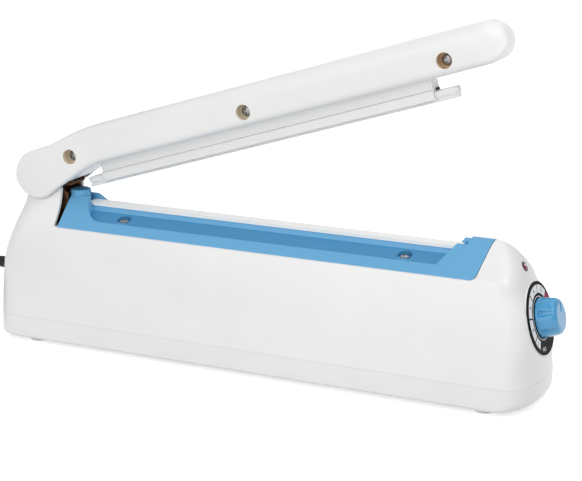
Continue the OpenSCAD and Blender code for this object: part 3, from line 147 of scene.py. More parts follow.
def merged_copy(node, name):
    """Copy of a solid with its corners merged and its flat faces made whole."""
    source = frame["nodes"][node]
    piece = bpy.data.objects.new(name, source.data.copy())
    bpy.context.scene.collection.objects.link(piece)
    alone(piece)
    bpy.ops.object.mode_set(mode="EDIT")
    bpy.ops.mesh.select_all(action="SELECT")
    bpy.ops.mesh.customdata_custom_splitnormals_clear()
    bpy.ops.mesh.remove_doubles(threshold=SAME_PLACE)
    bpy.ops.mesh.dissolve_limited(angle_limit=SAME_FACE)
    bpy.ops.object.mode_set(mode="OBJECT")
    return piece


def modify(piece, kind, **settings):
    """Add a modifier with its settings and apply it."""
    alone(piece)
    made = piece.modifiers.new(kind.title(), kind)
    for name, value in settings.items():
        setattr(made, name, value)
    bpy.ops.object.modifier_apply(modifier=made.name)


def move_corners(piece, picked, shift):
    """Move the corners that a test picks."""
    alone(piece)
    bpy.ops.object.mode_set(mode="EDIT")
    bpy.ops.mesh.select_all(action="DESELECT")
    bpy.ops.object.mode_set(mode="OBJECT")
    for corner in piece.data.vertices:
        corner.select = picked(corner.co)
    bpy.ops.object.mode_set(mode="EDIT")
    bpy.ops.transform.translate(value=shift)
    bpy.ops.object.mode_set(mode="OBJECT")


def soften(piece, width, angle=30):
    """Round the sharp edges of a piece and keep its broad faces flat to the eye."""
    modify(piece, "BEVEL", width=width, segments=3, limit_method="ANGLE", angle_limit=math.radians(angle),
           use_clamp_overlap=True, miter_outer="MITER_ARC")
    shade(piece, angle)
    for face in piece.data.polygons:
        face.use_smooth = len(face.vertices) < MANY_CORNERS
    modify(piece, "WEIGHTED_NORMAL", mode="FACE_AREA", weight=100, keep_sharp=True)


def shade(piece, angle=30):
    """Shade smooth up to an angle."""
    alone(piece)
    bpy.ops.object.shade_smooth_by_angle(angle=math.radians(angle))


def clothe(piece, material):
    """Give a piece one material."""
    piece.data.materials.clear()
    piece.data.materials.append(material)


def tone(piece, material, picked):
    """Give the faces that a test picks a second material."""
    piece.data.materials.append(material)
    for face in piece.data.polygons:
        if picked(face):
            face.material_index = len(piece.data.materials) - 1


def fit(piece, body, slot, material, *nodes):
    """Finish a piece: its material, its body and the solids that it stands for, which it hides. The slot is
    not used.
    """
    clothe(piece, material)
    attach(piece, body)
    if nodes:
        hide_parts(*nodes)
    return piece


def body_of(node):
    """Body that carries a solid."""
    return frame["nodes"][node]["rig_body"]


def slot_of(node):
    """Material slot of a solid in the record."""
    return next(s["material_slot"] for s in frame["record"]["subparts"] if s["node"] == node)


def dress(node, material, width, angle=30):
    """Stand a copy in for a solid, with its edges rounded to a width or, at no width, only shaded."""
    piece = merged_copy(node, node + "_dressed")
    if width:
        soften(piece, width, angle)
    else:
        shade(piece, angle)
    return fit(piece, body_of(node), slot_of(node), material, node)


def add(tree, kind, inputs=None, **settings):
    """Add a node, set its properties, and fill or link its inputs."""
    made = tree.nodes.new(kind)
    for name, value in settings.items():
        setattr(made, name, value)
    for name, value in (inputs or {}).items():
        if isinstance(value, NodeSocket):
            tree.links.new(value, made.inputs[name])
        else:
            made.inputs[name].default_value = value
    return made


def blank(name, inputs):
    """New material with its tree and a shader, filled with those inputs and wired to the output."""
    material = bpy.data.materials.get(name)
    if material:
        bpy.data.materials.remove(material)
    material = bpy.data.materials.new(name)
    material.use_nodes = True
    tree = material.node_tree
    tree.nodes.clear()
    shader = add(tree, "ShaderNodeBsdfPrincipled", inputs)
    add(tree, "ShaderNodeOutputMaterial", {"Surface": shader.outputs["BSDF"]})
    return material, tree, shader


def per_metre(size):
    """Noise scale for a grain of that size in millimetres."""
    return 1.0 / (size * MM)


def bands_per_metre(pitch):
    """Wave scale for bands of that pitch in millimetres; a scale of one gives about pi bands in a metre."""
    return per_metre(pitch) / math.pi


def grain(tree, size, detail=2.0, stretch=None):
    """Noise of a real size on the piece's own coordinates, which a turn and a scale may stretch."""
    place = add(tree, "ShaderNodeTexCoord").outputs["Object"]
    if stretch:
        turn, scale = stretch
        drawn = add(tree, "ShaderNodeMapping", {"Vector": place, "Rotation": turn, "Scale": scale})
        place = drawn.outputs["Vector"]
    noise = add(tree, "ShaderNodeTexNoise", {"Vector": place, "Scale": per_metre(size), "Detail": detail})
    return noise.outputs["Fac"]


def surface(tree, shader, gloss, colouring=None, relief=None):
    """Lead a shader's roughness, colour and relief by patterns.

    The gloss is a pattern and the least and most roughness. The colouring is a pattern, a colour and the
    least and most share of its brightness. The relief is a pattern and its height in millimetres.
    """
    low, high = PATTERN_SPAN
    pattern, (least, most) = gloss
    rough = add(tree, "ShaderNodeMapRange", {
        "Value": pattern, "From Min": low, "From Max": high, "To Min": least, "To Max": most},
        interpolation_type="SMOOTHSTEP")
    tree.links.new(rough.outputs["Result"], shader.inputs["Roughness"])
    if colouring:
        pattern, base, shares = colouring
        ramp = add(tree, "ShaderNodeValToRGB", {"Fac": pattern})
        ramp.color_ramp.interpolation = "EASE"
        for stop, level, share in zip(ramp.color_ramp.elements, PATTERN_SPAN, shares):
            stop.position = level
            stop.color = [min(1.0, c * share) for c in base[:3]] + [1.0]
        tree.links.new(ramp.outputs["Color"], shader.inputs["Base Color"])
    if relief:
        pattern, height = relief
        bump = add(tree, "ShaderNodeBump", {
            "Height": pattern, "Strength": RELIEF_STRENGTH, "Distance": height * MM})
        tree.links.new(bump.outputs["Normal"], shader.inputs["Normal"])


def moulded_abs(name, base, rough=0.32, coat=0.25, pitch=0.9, height=0.012, depth=0.02, gloss=0.5):
    """Moulded ABS: an even colour, a soft sheen and the faint unevenness of a polished mould."""
    material, tree, shader = blank(name, {
        "IOR": 1.54, "Specular IOR Level": gloss, "Coat Weight": coat, "Coat Roughness": 0.2})
    cloud = grain(tree, size=45, detail=3.0)
    surface(tree, shader,
            gloss=(cloud, (rough - 0.04, rough + 0.05)),
            colouring=(cloud, base, (1 - depth, 1 + depth / 2)),
            relief=(grain(tree, pitch), height))
    return material


def worked_metal(name, base, rough, size, stretch=None, low=0.86, metallic=1.0):
    """Bare or plated metal: a coloured mirror whose gloss is broken by spangle or drawing lines."""
    material, tree, shader = blank(name, {"Metallic": metallic})
    lines = grain(tree, size, detail=4.0, stretch=stretch)
    surface(tree, shader,
            gloss=(lines, (rough * 0.75, rough * 1.3)),
            colouring=(lines, base, (low, 1.04)),
            relief=(lines, 0.01))
    return material


def passivated_steel(name, base):
    """Brown passivated plate: dull metal with cloudy, darker patches."""
    material, tree, shader = blank(name, {"Metallic": 0.75})
    cloud = grain(tree, size=4.0, detail=5.0)
    surface(tree, shader,
            gloss=(cloud, (0.38, 0.6)),
            colouring=(cloud, base, (0.62, 1.2)),
            relief=(grain(tree, size=0.6), 0.02))
    return material


def soft_rubber(name, base, rough=0.5, sheen=0.1, pitch=0.7, height=0.02, depth=0.06, glow=0.0):
    """Rubber or soft PVC: a dull, even skin with a fine matt grain, and light let through where pale."""
    material, tree, shader = blank(name, {
        "IOR": 1.5, "Sheen Weight": sheen, "Subsurface Weight": glow, "Subsurface Radius": (1.0, 1.0, 1.0),
        "Subsurface Scale": 6 * MM})
    cloud = grain(tree, size=12, detail=3.0)
    surface(tree, shader,
            gloss=(cloud, (rough - 0.08, rough + 0.08)),
            colouring=(cloud, base, (1 - depth, 1 + depth)),
            relief=(grain(tree, pitch), height))
    return material


def coated_cloth(name, base, coat=0.0):
    """Glass cloth coated with fluoropolymer: a flat weave under a smooth skin."""
    # The real thread is about 0.3 mm and is drawn coarser, so that it shows
    thread = 1.1
    material, tree, shader = blank(name, {
        "Sheen Weight": 0.15, "Coat Weight": coat, "Coat Roughness": 0.25})
    place = add(tree, "ShaderNodeTexCoord").outputs["Object"]
    warp, weft = (
        add(tree, "ShaderNodeTexWave", {
            "Vector": place, "Scale": bands_per_metre(thread), "Distortion": 0.4}, bands_direction=way)
        for way in "XY")
    crossed = add(tree, "ShaderNodeMath", {0: warp.outputs["Fac"], 1: weft.outputs["Fac"]},
                  operation="MULTIPLY")
    weave = crossed.outputs["Value"]
    surface(tree, shader,
            gloss=(grain(tree, size=8), (0.34, 0.46)),
            colouring=(weave, base, (0.95, 1.02)),
            relief=(weave, 0.04))
    return material


def banded(name, base, pitch, way, metallic, rough):
    """Turns of wire or stacked sheets: even bands across a block, darker between them."""
    material, tree, shader = blank(name, {"Metallic": metallic})
    place = add(tree, "ShaderNodeTexCoord").outputs["Object"]
    wave = add(tree, "ShaderNodeTexWave", {"Vector": place, "Scale": bands_per_metre(pitch)},
               bands_direction=way)
    bands = wave.outputs["Fac"]
    surface(tree, shader,
            gloss=(grain(tree, size=5), (rough - 0.08, rough + 0.08)),
            colouring=(bands, base, (0.7, 1.05)),
            relief=(bands, 0.15))
    return material


def tinted_lens(name, rim, painted_highlight, centre, radius):
    """Clear acrylic lens tinted red, polished: deep red at the rim, with a pale painted highlight in its
    middle.
    """
    material, tree, shader = blank(name, {"IOR": 1.49, "Coat Weight": 0.8, "Coat Roughness": 0.05})
    place = add(tree, "ShaderNodeTexCoord").outputs["Object"]
    centred = add(tree, "ShaderNodeMapping", {
        "Vector": place, "Location": -centre / radius, "Scale": [1 / radius] * 3})
    nearness = add(tree, "ShaderNodeTexGradient", {"Vector": centred.outputs["Vector"]},
                   gradient_type="SPHERICAL")
    ramp = add(tree, "ShaderNodeValToRGB", {"Fac": nearness.outputs["Fac"]})
    for stop, level, tinge in zip(ramp.color_ramp.elements, (0.2, 0.5), (rim, painted_highlight)):
        stop.position = level
        stop.color = tinge
    tree.links.new(ramp.outputs["Color"], shader.inputs["Base Color"])
    surface(tree, shader, gloss=(grain(tree, size=1.5), (0.1, 0.2)))
    return material


class SEALER_OT_stage(Operator):
    """Make the floor, the lamps, the sky and the camera"""
    bl_idname = "sealer.stage"
    bl_label = "Stage"

    # Side of the floor in metres, its own light where it is seen, and the sky's light on the sealer
    floor_side = 16.0
    floor_glow = 0.65
    sky_light = 0.54
    # Name, place, aim, size, spread in degrees and power of each lamp: large soft ones over the near side,
    # overhead, high at the knob end and weak behind, and a narrow one for the arm's tip
    lamp_rows = (
        ("Key", (-150, -1350, 720), (0, 0, 80), 1300, 180, 7.6),
        ("Top", (200, 300, 1700), (0, 0, 80), 900, 180, 2.6),
        ("Knob end", (900, -450, 1300), (180, 0, 80), 700, 180, 4.2),
        ("Back", (-300, 1400, 500), (0, 0, 80), 1300, 180, 2.4),
        ("Tip", (950, 0, 360), (150, 0, 245), 160, 16, 0.014),
    )

    def execute(self, context):
        scene = context.scene
        scene.view_settings.view_transform = "Standard"
        self.camera(scene)
        self.floor()
        self.sky(scene)
        self.lamps(scene)
        return {"FINISHED"}

    def camera(self, scene):
        """Camera fitted to the photograph's edges, with its focal length in the picture's pixels."""
        azimuth = math.radians(25.52)
        elevation = math.radians(15.11)
        distance = 1242.46
        target = point(18.99, 0.0, 95.73)
        focal, picture_width = 1684.6, 582
        back = Vector((math.sin(azimuth) * math.cos(elevation), -math.cos(azimuth) * math.cos(elevation),
                       math.sin(elevation)))
        data = bpy.data.cameras.new("Camera")
        data.sensor_width = 36.0
        data.lens = data.sensor_width * focal / picture_width
        data.clip_end = 50.0
        camera = bpy.data.objects.new("Camera", data)
        scene.collection.objects.link(camera)
        camera.location = target + back * distance * MM
        camera.rotation_euler = (-back).to_track_quat("-Z", "Y").to_euler()
        scene.camera = camera

    def floor(self):
        """Pale floor that the camera and the glossy pieces see as white, with the shadow left on it."""
        bpy.ops.object.select_all(action="DESELECT")
        bpy.ops.mesh.primitive_plane_add(size=self.floor_side)
        floor = bpy.context.active_object
        floor.name = "floor"
        material, tree, shader = blank("Matt white floor", {
            "Base Color": linear("d8d8d8"), "Roughness": 0.9, "Emission Color": (1.0, 1.0, 1.0, 1.0)})
        rays = add(tree, "ShaderNodeLightPath").outputs
        seen = add(tree, "ShaderNodeMath", {0: rays["Is Camera Ray"], 1: rays["Is Glossy Ray"]},
                   operation="MAXIMUM")
        seen = add(tree, "ShaderNodeMath", {0: seen.outputs[0], 1: rays["Is Transmission Ray"]},
                   operation="MAXIMUM")
        glow = add(tree, "ShaderNodeMath", {0: seen.outputs[0], 1: self.floor_glow}, operation="MULTIPLY")
        tree.links.new(glow.outputs[0], shader.inputs["Emission Strength"])
        clothe(floor, material)

    def sky(self, scene):
        """Even white light from all round."""
        world = bpy.data.worlds.new("White sky")
        world.use_nodes = True
        tree = world.node_tree
        tree.nodes.clear()
        rays = add(tree, "ShaderNodeLightPath").outputs
        seen = add(tree, "ShaderNodeMath", {0: rays["Is Camera Ray"], 1: rays["Is Transmission Ray"]},
                   operation="MAXIMUM")
        level = add(tree, "ShaderNodeMapRange", {
            "Value": seen.outputs[0], "To Min": self.sky_light, "To Max": 1.0})
        light = add(tree, "ShaderNodeBackground", {
            "Color": (1.0, 1.0, 1.0, 1.0), "Strength": level.outputs[0]})
        add(tree, "ShaderNodeOutputWorld", {"Surface": light.outputs[0]})
        scene.world = world

    def lamps(self, scene):
        """Area lamps, each turned to its aim."""
        for name, place, aim, size, cone, power in self.lamp_rows:
            data = bpy.data.lights.new(name, "AREA")
            data.size = size * MM
            data.spread = math.radians(cone)
            data.energy = power
            lamp = bpy.data.objects.new(name, data)
            scene.collection.objects.link(lamp)
            lamp.location = point(*place)
            lamp.rotation_euler = (point(*aim) - lamp.location).to_track_quat("-Z", "Y").to_euler()


class SEALER_OT_cord(Operator):
    """Lay the mains cord, its coil, its tie, its sleeve and its plug"""
    bl_idname = "sealer.cord"
    bl_label = "Cord"

    # Route from the clamp to the coil, and from the coil to the plug, as the solids have it
    route = ((-200, 0, 48.2), (-210.5, 0, 48.2), (-226.5, 0, 48.2), (-243.5, 0, 48.2), (-258.5, 1, 46),
             (-272.5, 5, 39.5), (-286.5, 12, 30), (-300.5, 23, 19.5), (-314.5, 34, 10.5), (-326.5, 41, 6),
             (-336.5, 43.9, 4.8), (-345.7, 43.9, 4.8))
    tail = ((-345.7, -43.9, 12.3), (-337.5, -44, 12.3), (-326.5, -44.2, 10.5), (-316.5, -44.375, 8.4),
            (-308.5, -44.375, 8), (-300.5, -44.375, 8))

    # Side of the tie that is drawn in, and how far
    tie_side = -400.0
    draw_in = 2.7

    def on_side(self, place):
        """Whether a place is on the side of the tie that is drawn in."""
        return place.x < self.tie_side * MM

    def tie(self, material):
        """Tie drawn in round the strands of the coil."""
        piece = merged_copy("cord_tie", "cord_tie_dressed")
        move_corners(piece, self.on_side, (self.draw_in * MM, 0.0, 0.0))
        soften(piece, width=0.3 * MM)
        fit(piece, body_of("cord_tie"), slot_of("cord_tie"), material, "cord_tie")

    def coil(self):
        """Points of the coil: in by one layer, up where the spiral turns back, and out again."""
        # Place of the middle, inner radius, step from turn to turn and layer to layer, and lowest height
        middle, inner, step, low = -352.5, 27.1, 7.5, 4.8
        # Degrees that each layer turns, and points in a full turn
        layer_angle, points_per_turn = 810, 24
        for k in range(2 * layer_angle * points_per_turn // 360 + 1):
            a = -layer_angle + 360 * k / points_per_turn
            r = inner + step * abs(a) / 360
            turn = math.radians(a + 180)
            # The lead climbs to the upper layer over the half turn in the middle
            climb = max(0.0, min(1.0, (a + 90) / 180)) * step
            yield (middle + r * math.cos(turn), r * math.sin(turn), low + climb)

    def execute(self, context):
        colours, sizes = context.scene.sealer_colours, context.scene.sealer_sizes
        sheath = soft_rubber("PVC cord sheath", colours.cord, rough=0.42, sheen=0.05, pitch=1.2, height=0.03,
                             depth=0.15)
        points = [point(*p) for p in (*self.route, *self.coil(), *self.tail)]
        line = bpy.data.curves.new("mains_cord", "CURVE")
        line.dimensions = "3D"
        line.bevel_depth = sizes.cord / 2
        line.bevel_resolution = 6
        line.resolution_u = 3
        line.use_fill_caps = True
        spline = line.splines.new("BEZIER")
        spline.bezier_points.add(len(points) - 1)
        for knot, place in zip(spline.bezier_points, points):
            knot.co = place
            knot.handle_left_type = knot.handle_right_type = "AUTO"
        cord = bpy.data.objects.new("mains_cord", line)
        context.scene.collection.objects.link(cord)
        fit(cord, "body", "cord_black", sheath, "power_cord", "cord_coil", "cord_tail")
        self.tie(moulded_abs("Nylon tie", linear("232325"), rough=0.4))
        moulding = moulded_abs("Moulded plug PVC", colours.cord, rough=0.4, coat=0.1)
        plug = dress("plug_body", moulding, width=1.6 * MM)
        nickel = worked_metal("Nickel plated brass", linear("c9c7c0"), rough=0.22, size=0.8)
        pins = dress("plug_pins", nickel, width=0.8 * MM)
        sleeve = dress("strain_relief", sheath, width=0.4 * MM)
        return {"FINISHED"}


class SEALER_OT_body(Operator):
    """Dress the housing, the tray, the feet and the screws under them"""
    bl_idname = "sealer.body"
    bl_label = "Body"

    # Height of the tray's rim, how near to it a corner counts, and how far the rim is raised to the housing,
    # so that their joint is a groove and no slit
    rim = 20.55
    near = 0.01
    gap = 0.2
    # Angle up to which the large mouldings are smooth
    smooth_to = 32

    def on_rim(self, place):
        """Whether a place is on the tray's rim."""
        return abs(place.z - self.rim * MM) < self.near * MM

    def execute(self, context):
        colours, sizes = context.scene.sealer_colours, context.scene.sealer_sizes
        white = moulded_abs("White moulded ABS", colours.body)
        dress("upper_housing", white, width=0, angle=self.smooth_to)
        tray = merged_copy("bottom_tray", "bottom_tray_dressed")
        move_corners(tray, self.on_rim, (0.0, 0.0, self.gap * MM))
        soften(tray, width=0.5 * MM, angle=self.smooth_to)
        fit(tray, body_of("bottom_tray"), slot_of("bottom_tray"), white, "bottom_tray")
        dress("feet", soft_rubber("White rubber feet", linear("f0f0ee"), rough=0.6), width=0.5 * MM)
        zinc = worked_metal("Zinc plated screws", linear("b4b6ba"), rough=0.3, size=0.7)
        dress("tray_screws", zinc, sizes.plate_edge)
        return {"FINISHED"}


class SEALER_OT_cover(Operator):
    """Dress the blue cover, its screws, the seal strip and the switch cap"""
    bl_idname = "sealer.cover"
    bl_label = "Cover"

    # Lowest and highest middle of the troughs' floors, and the least and most upward turn of their faces
    floor_heights = (97.0, 103.0)
    floor_turns = (0.92, 0.96)
    # Place of the cover's screws along and across it, the radius that takes in their recesses, and the most
    # upward turn of the recesses' walls
    screw_at = (115.0, 14.5)
    reach = 6.0
    wall_turn = 0.5
    # Share of a moulded edge that the cover has, and the angle from which its edges are rounded
    edge_share = 0.7
    edge_from = 24

    def in_trough(self, face):
        """Whether a face is the floor of one of the troughs, which are painted a deeper blue as painted
        shade.
        """
        low, high = (z * MM for z in self.floor_heights)
        return low < face.center.z < high and self.floor_turns[0] < face.normal.z < self.floor_turns[1]

    def in_recess(self, face):
        """Whether a face is part of the wall of a screw's recess, which is painted darker as painted shade.
        """
        along, across = (abs(face.center[k]) - self.screw_at[k] * MM for k in range(2))
        return math.hypot(along, across) < self.reach * MM and abs(face.normal.z) < self.wall_turn

    def on_top(self, face):
        """Whether a face is the flat top of the cap, which is painted darker as painted shade."""
        return face.normal.z > FACING

    def satin(self, name, base):
        """Moulded ABS with the duller, more even face of the blue pieces."""
        return moulded_abs(name, base, rough=0.42, coat=0.0, depth=0.006, gloss=0.3)

    def execute(self, context):
        colours, sizes = context.scene.sealer_colours, context.scene.sealer_sizes
        blue = self.satin("Blue moulded ABS", colours.blue)
        cover = dress("element_cover", blue, sizes.edge * self.edge_share, self.edge_from)
        # The troughs' floors get a deeper blue as painted shade from the arm above them
        tone(cover, self.satin("Blue moulded ABS with painted trough shade", colours.painted_trough_shade), self.in_trough)
        # The recesses' walls are painted darker for the shade that falls in them
        painted_recess_shade = self.satin("Blue moulded ABS with painted shade", colours.painted_recess_shade)
        tone(cover, painted_recess_shade, self.in_recess)
        cap = dress("switch_plunger", blue, sizes.edge)
        # The cap's top is painted darker for the arm's shadow over it
        tone(cap, painted_recess_shade, self.on_top)
        zinc = worked_metal("Zinc plated cover screws", linear("c4c6ca"), rough=0.26, size=0.7)
        dress("cover_screws", zinc, sizes.plate_edge)
        dress("seal_strip", coated_cloth("Coated glass cloth", colours.cloth, coat=0.5), width=0.05 * MM)
        return {"FINISHED"}


class SEALER_OT_arm(Operator):
    """Dress the arm, its screws, the press bar and the rubber"""
    bl_idname = "sealer.arm"
    bl_label = "Arm"

    # Axes of the arm's screws across the sealer, and the radius that takes in their recesses
    screws = ((-158.65, 146.05), (-9.79, 192.7), (142.89, 240.54))
    reach = 6.0
    # Place of the recesses' floors, how near to it a face counts, the most sideways turn of the recesses'
    # walls, and where the front recess begins
    floor_side = -13.0
    near = 0.1
    wall_turn = 0.3
    front_from = 100.0
    # Turn of the open arm, and the scale that draws a grain out along it
    open_turn = (0.0, math.radians(17.4), 0.0)
    drawn_out = (0.02, 1.0, 1.0)
    # Angle up to which the arm's halves are smooth
    smooth_to = 32

    def at_front(self, face):
        """Whether a face is cut across the front end of the bar, which is painted near white as painted
        light.
        """
        return face.normal.x > FACING

    def in_recess(self, face):
        """Whether a face is part of the wall or the floor of a screw's recess."""
        away = min(math.hypot(face.center.x - x * MM, face.center.z - z * MM) for x, z in self.screws)
        on_floor = abs(face.center.y - self.floor_side * MM) < self.near * MM
        return away < self.reach * MM and (abs(face.normal.y) < self.wall_turn or on_floor)

    def in_front_recess(self, face):
        """Whether a face is part of the recess nearest the knob."""
        return self.in_recess(face) and face.center.x > self.front_from * MM

    def execute(self, context):
        colours, sizes = context.scene.sealer_colours, context.scene.sealer_sizes
        white = moulded_abs("White moulded ABS arm", colours.body)
        # Painted shade: the screw recesses in the white arm get a cream tint, and the front one, seen deeper,
        # a darker tan
        cream_painted_shade = moulded_abs("Cream painted shade in the recesses", linear("ece0c8"), rough=0.5, coat=0.0)
        tan_painted_shade = moulded_abs("Tan painted shade in the front recess", linear("e0c3a0"), rough=0.5, coat=0.0)
        near_half = dress("arm_near_half", white, width=0, angle=self.smooth_to)
        tone(near_half, cream_painted_shade, self.in_recess)
        tone(near_half, tan_painted_shade, self.in_front_recess)
        dress("arm_far_half", white, width=0, angle=self.smooth_to)
        zinc = worked_metal("Zinc plated arm screws", linear("a3a3a4"), rough=0.32, size=0.7)
        dress("arm_screws", zinc, sizes.plate_edge)
        clothe(frame["nodes"]["arm_nuts"], zinc)
        extrusion = worked_metal("Anodised aluminium extrusion", linear("e6e6e5"), rough=0.45, size=0.5,
                                 stretch=(self.open_turn, self.drawn_out), low=0.92, metallic=0.35)
        # The bar's end face turns away from the lamps and is painted near white and matt, as painted light
        painted_light_end = worked_metal("Bar end with painted light", linear("fcfcfc"), rough=0.6, size=0.5, metallic=0.0)
        tone(dress("press_bar", extrusion, sizes.plate_edge), painted_light_end, self.at_front)
        black = worked_metal("Blackened pin", linear("4a4a4c"), rough=0.4, size=0.6)
        dress("press_bar_pin", black, sizes.plate_edge)
        silicone = soft_rubber("Silicone rubber", colours.rubber, rough=0.42, sheen=0.2, glow=0.8)
        dress("rubber_strip", silicone, width=0.3 * MM)
        brown = passivated_steel("Brown passivated steel", linear("6b4a34"))
        dress("arm_lever", brown, sizes.plate_edge)
        dress("hinge_bracket", brown, sizes.plate_edge)
        return {"FINISHED"}


class SEALER_OT_dial(Operator):
    """Dress the dial, its print, the knob and the lamp"""
    bl_idname = "sealer.dial"
    bl_label = "Dial"

    # Middle of the dial, its lean back from upright, and the ways out of its face and up it
    centre = (211.1, 0.0, 62.2)
    tilt = math.radians(14.2)
    out = Vector((math.cos(tilt), 0.0, math.sin(tilt)))
    up = Vector((-math.sin(tilt), 0.0, math.cos(tilt)))
    # Turn of the knob on its shaft, to where the photograph has it
    knob_turn = math.radians(-16)
    # Degrees clockwise from the top at which the fields begin and end, and between which they are red
    field_ends = (216, 240, 283, 326, 369, 412, 455, 498)
    hot = (50, 140)
    # Radius of the numerals, and their height over the dial's middle
    numeral_radius = 20.6
    numeral_height = 0.8
    # Degrees clockwise from the top and radius of the word, and its share of a numeral's size
    word_turn = 196
    word_radius = 21.4
    word_share = 0.9
    # Inner radius and width of the thin ring, and the height of the ring and the word over the dial's middle
    ring_radius = 15.0
    ring_width = 0.6
    plate_height = 0.6
    # Text size that gives a capital a height of one
    text_size = 1.4
    # Radius of the pale painted highlight in the middle of the lamp's lens
    painted_highlight_radius = 1.9

    def frame_at(self, turn, radius, height):
        """Place and turn of a mark on the dial, with the turn run clockwise from the top."""
        side = Vector((0.0, 1.0, 0.0))
        a = math.radians(turn)
        outward = self.up * math.cos(a) + side * math.sin(a)
        across = outward.cross(self.out)
        place = point(*self.centre) + outward * radius * MM + self.out * height * MM
        turned = Matrix((across, outward, self.out)).transposed().to_4x4()
        return Matrix.Translation(place) @ turned

    def word(self, text, turn, radius, height, size, ink):
        """Printed word as a thin mesh."""
        bpy.ops.object.select_all(action="DESELECT")
        bpy.ops.object.text_add()
        made = bpy.context.active_object
        made.data.body = text
        made.data.size = size * self.text_size
        made.data.align_x = "CENTER"
        made.data.align_y = "CENTER"
        made.data.extrude = ink / 2
        bpy.ops.object.convert(target="MESH")
        made.data.transform(self.frame_at(turn, radius, height) @ Matrix.Translation((0, 0, ink / 2)))
        return made

    def ring(self, radius, width, height, ink):
        """Printed ring as a thin mesh."""
        bpy.ops.object.select_all(action="DESELECT")
        bpy.ops.mesh.primitive_circle_add(vertices=96, radius=radius * MM)
        made = bpy.context.active_object
        bpy.ops.object.mode_set(mode="EDIT")
        bpy.ops.mesh.select_all(action="SELECT")
        bpy.ops.mesh.extrude_edges_move()
        bpy.ops.transform.resize(value=(1 + width / radius, 1 + width / radius, 1.0))
        bpy.ops.mesh.select_all(action="SELECT")
        bpy.ops.mesh.normals_make_consistent(inside=False)
        bpy.ops.object.mode_set(mode="OBJECT")
        modify(made, "SOLIDIFY", thickness=ink, offset=0.0)
        made.data.transform(self.frame_at(0, 0, height))
        return made

    def numerals(self, size, ink):
        """Numerals of all the fields as one mesh."""
        digits = []
        for k, (start, end) in enumerate(zip(self.field_ends, self.field_ends[1:])):
            middle = (start + end) / 2
            digits.append(self.word(str(k + 1), middle, self.numeral_radius, self.numeral_height, size, ink))
        alone(digits[0])
        for digit in digits:
            digit.select_set(True)
        bpy.ops.object.join()
        return digits[0]

    def knob(self, material):
        """Knob with the soft lobes of a moulding."""
        piece = merged_copy("timer_knob", "timer_knob_dressed")
        modify(piece, "REMESH", mode="VOXEL", voxel_size=0.32 * MM)
        modify(piece, "SMOOTH", factor=0.5, iterations=14)
        centre = Matrix.Translation(point(*self.centre))
        piece.data.transform(centre @ Matrix.Rotation(self.knob_turn, 4, self.out) @ centre.inverted())
        shade(piece, angle=60)
        fit(piece, body_of("timer_knob"), slot_of("timer_knob"), material, "timer_knob")

    def is_hot(self, face):
        """Whether a face is part of the fields for the longest times, which are red."""
        across = face.center - point(*self.centre)
        turn = math.degrees(math.atan2(across.y, across.dot(self.up)))
        return self.hot[0] < turn < self.hot[1]

    def execute(self, context):
        colours, sizes = context.scene.sealer_colours, context.scene.sealer_sizes
        black = moulded_abs("Printed black plate", colours.dial, rough=0.6, coat=0.0, gloss=0.12)
        white = moulded_abs("Printed white fields", colours.field, rough=0.5, coat=0.0, gloss=0.2)
        red = moulded_abs("Printed red fields", colours.mark, rough=0.5, coat=0.0, gloss=0.2)
        dress("dial_plate", black, width=0.15 * MM)
        tone(dress("dial_fields", white, width=0.04 * MM), red, self.is_hot)
        self.knob(moulded_abs("Blue moulded ABS knob", colours.knob, rough=0.24, coat=0.5))
        zinc = worked_metal("Zinc plated nut", linear("a7a9ad"), rough=0.3, size=0.7)
        dress("knob_set_screw", zinc, width=0.2 * MM)
        dress("potentiometer_nut", zinc, sizes.plate_edge)
        numerals = self.numerals(sizes.numeral, sizes.ink)
        numerals.name = "dial_numerals"
        fit(numerals, "body", "dial_black", black)
        off = self.word("OFF", self.word_turn, self.word_radius, self.plate_height,
                        sizes.numeral * self.word_share, sizes.ink)
        off.name = "dial_off_word"
        fit(off, "body", "dial_white", white)
        circle = self.ring(self.ring_radius, self.ring_width, self.plate_height, sizes.ink)
        circle.name = "dial_ring"
        fit(circle, "body", "dial_white", white)
        dress("lamp_rim", moulded_abs("Dark lamp rim", linear("43202c"), rough=0.4), width=0.15 * MM)
        # The lens's pale middle is a painted highlight, centred on its most forward corner
        corners = [corner.co for corner in frame["nodes"]["lamp_lens"].data.vertices]
        crown = max(corners, key=lambda place: place.x + place.z)
        lens = tinted_lens("Red acrylic lens", colours.lens, linear("ffdbe8"), crown, self.painted_highlight_radius * MM)
        dress("lamp_lens", lens, width=0)
        return {"FINISHED"}


